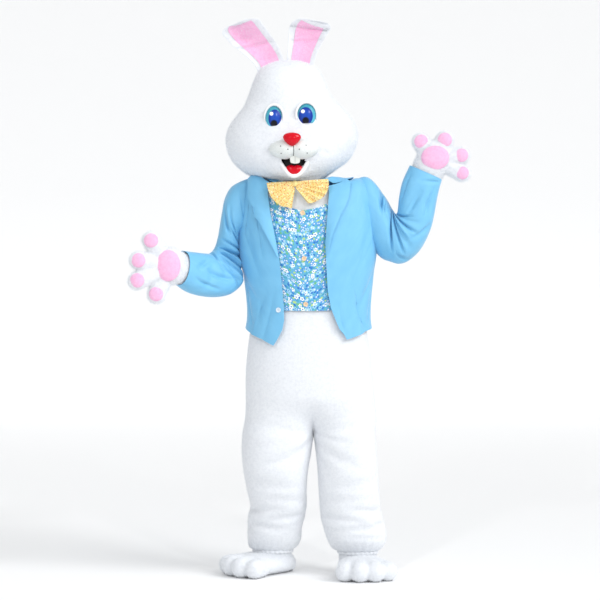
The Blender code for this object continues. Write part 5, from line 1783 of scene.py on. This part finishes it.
# %% Short fur
def fur(source, count, length, width, surface, keep=None, seed=1):
    thing = bpy.data.objects[source]
    mesh = thing.data
    mesh.calc_loop_triangles()
    corners = np.array([vert.co for vert in mesh.vertices])
    triangles = np.array([item.vertices for item in mesh.loop_triangles])
    a, b, c = (corners[triangles[:, i]] for i in range(3))
    cross = np.cross(b - a, c - a)
    size = np.linalg.norm(cross, axis=1)
    if keep is not None:
        size = size * keep(((a + b + c) / 3) / MM, unit(cross))
    chance = np.random.default_rng(seed)
    chosen = chance.choice(len(size), count, p=size / size.sum())
    u, v = chance.random((2, count))
    flip = u + v > 1
    u, v = np.where(flip, 1 - u, u), np.where(flip, 1 - v, v)
    root = a[chosen] + (b - a)[chosen] * u[:, None] + (c - a)[chosen] * v[:, None]
    outward = unit(cross[chosen])
    lean = chance.normal(0, 0.45, (count, 3)) + np.array([0, 0, -0.35])
    tip = root + unit(outward + lean) * (length * MM * (0.6 + 0.8 * chance.random((count, 1))))
    aside = unit(np.cross(outward, chance.normal(0, 1, (count, 3)))) * width * MM / 2
    points = np.concatenate([root - aside - outward * MM, root + aside - outward * MM, tip])
    faces = np.stack([np.arange(count), np.arange(count) + count, np.arange(count) + 2 * count], axis=1)
    made = bpy.data.meshes.new(f"{source}_fur")
    made.from_pydata(points.tolist(), [], faces.tolist())
    link(f"{source}_fur", made, surface)
    print(f"{source}_fur: {count} strands")


fur_white = plain("scene_fur_white", rgb(0.88, 0.90, 0.93), 0.9)
HIP = -520
# Piece, strands, length in millimetres, seed of its random draws
FURS = [("glove", 16000, 7.0, 3), ("boot", 12000, 5.0, 5), ("ear", 9000, 5.0, 7), ("head", 26000, 5.0, 9)]
for mark in ("l", "r"):
    for name, strands, length, seed in FURS:
        fur(f"{name}_{mark}_plush", strands, length, 1.0, fur_white, seed=seed)
    for part in ("front", "back"):
        fur(f"suit_{part}_{mark}", 9000, 3.5, 1.0, fur_white, lambda place, normal: place[:, 2] < HIP, 11)

# %% [markdown]
# ## Floor, light and camera
#
# The photo is a cut-out on white with a soft, high-key light from the upper right. A wide soft sun gives the
# gentle shading, and a pale world fills the shadows. The floor curves up far behind, so that the back can be
# looked at too. The camera stands level with the hips, six metres away.

# %% Floor, light and camera
bm = bmesh.new()
bmesh.ops.create_grid(bm, x_segments=1, y_segments=1, size=12)
bmesh.ops.translate(bm, verts=bm.verts, vec=(0, -3, FLOOR * MM))
rear = [edge for edge in bm.edges if all(vert.co.y > 8.9 for vert in edge.verts)]
risen = bmesh.ops.extrude_edge_only(bm, edges=rear)["geom"]
bmesh.ops.translate(bm, verts=[item for item in risen if isinstance(item, bmesh.types.BMVert)], vec=(0, 0, 9))
bmesh.ops.bevel(bm, geom=rear, offset=2.0, segments=24, profile=0.5, affect="EDGES", material=-1)
bmesh.ops.recalc_face_normals(bm, faces=bm.faces)
floor_mesh = bpy.data.meshes.new("floor")
bm.to_mesh(floor_mesh)
bm.free()
floor = bpy.data.objects.new("floor", floor_mesh)
bpy.context.scene.collection.objects.link(floor)
floor_mesh.shade_smooth()
floor_mesh.materials.append(plain("scene_floor", rgb(0.97, 0.97, 0.97), 0.9))

world = bpy.data.worlds.new("studio")
world.use_nodes = True
world.node_tree.nodes["Background"].inputs["Color"].default_value = rgb(0.97, 0.985, 1.0)
world.node_tree.nodes["Background"].inputs["Strength"].default_value = 0.60
bpy.context.scene.world = world


def lamp(name, kind, power, toward, place=(0, 0, 0), **settings):
    data = bpy.data.lights.new(name, kind)
    data.energy = power
    for key, value in settings.items():
        setattr(data, key, value)
    thing = bpy.data.objects.new(name, data)
    thing.location = place
    thing.rotation_euler = Vector(toward).to_track_quat("-Z", "Y").to_euler()
    bpy.context.scene.collection.objects.link(thing)


lamp("key", "SUN", 1.6, (-0.78, 0.50, -0.62), angle=math.radians(34))
# Two small lamps, seen only as bright spots on the glossy nose, tongue and eyes
for side, x in (("left", -1.1), ("right", 1.3)):
    place = Vector((x, -3.4, 1.5))
    lamp(f"spark_{side}", "AREA", 24, Vector((0, 0, 0.15)) - place, place, size=0.22)
bpy.context.scene.view_settings.view_transform = "Standard"

lens = bpy.data.cameras.new("camera")
lens.lens = 100
lens.sensor_width = 36
lens.clip_end = 100
camera = bpy.data.objects.new("camera", lens)
camera.location = (-0.0108, -6.0, -0.414)
camera.rotation_euler = (math.pi / 2, 0, 0)
bpy.context.scene.collection.objects.link(camera)
bpy.context.scene.camera = camera

# %% [markdown]
# ## Sizes and the end
#
# The triangles of every mesh that renders are counted, and the total and the largest piece are printed.

# %% Sizes and the end
graph = bpy.context.evaluated_depsgraph_get()
counts = {}
for thing in bpy.context.scene.objects:
    if thing.type == "MESH" and not thing.hide_render:
        ready = thing.evaluated_get(graph).to_mesh()
        ready.calc_loop_triangles()
        counts[thing.name] = len(ready.loop_triangles)
print("triangles", sum(counts.values()), "largest", max(counts.items(), key=lambda item: item[1]))
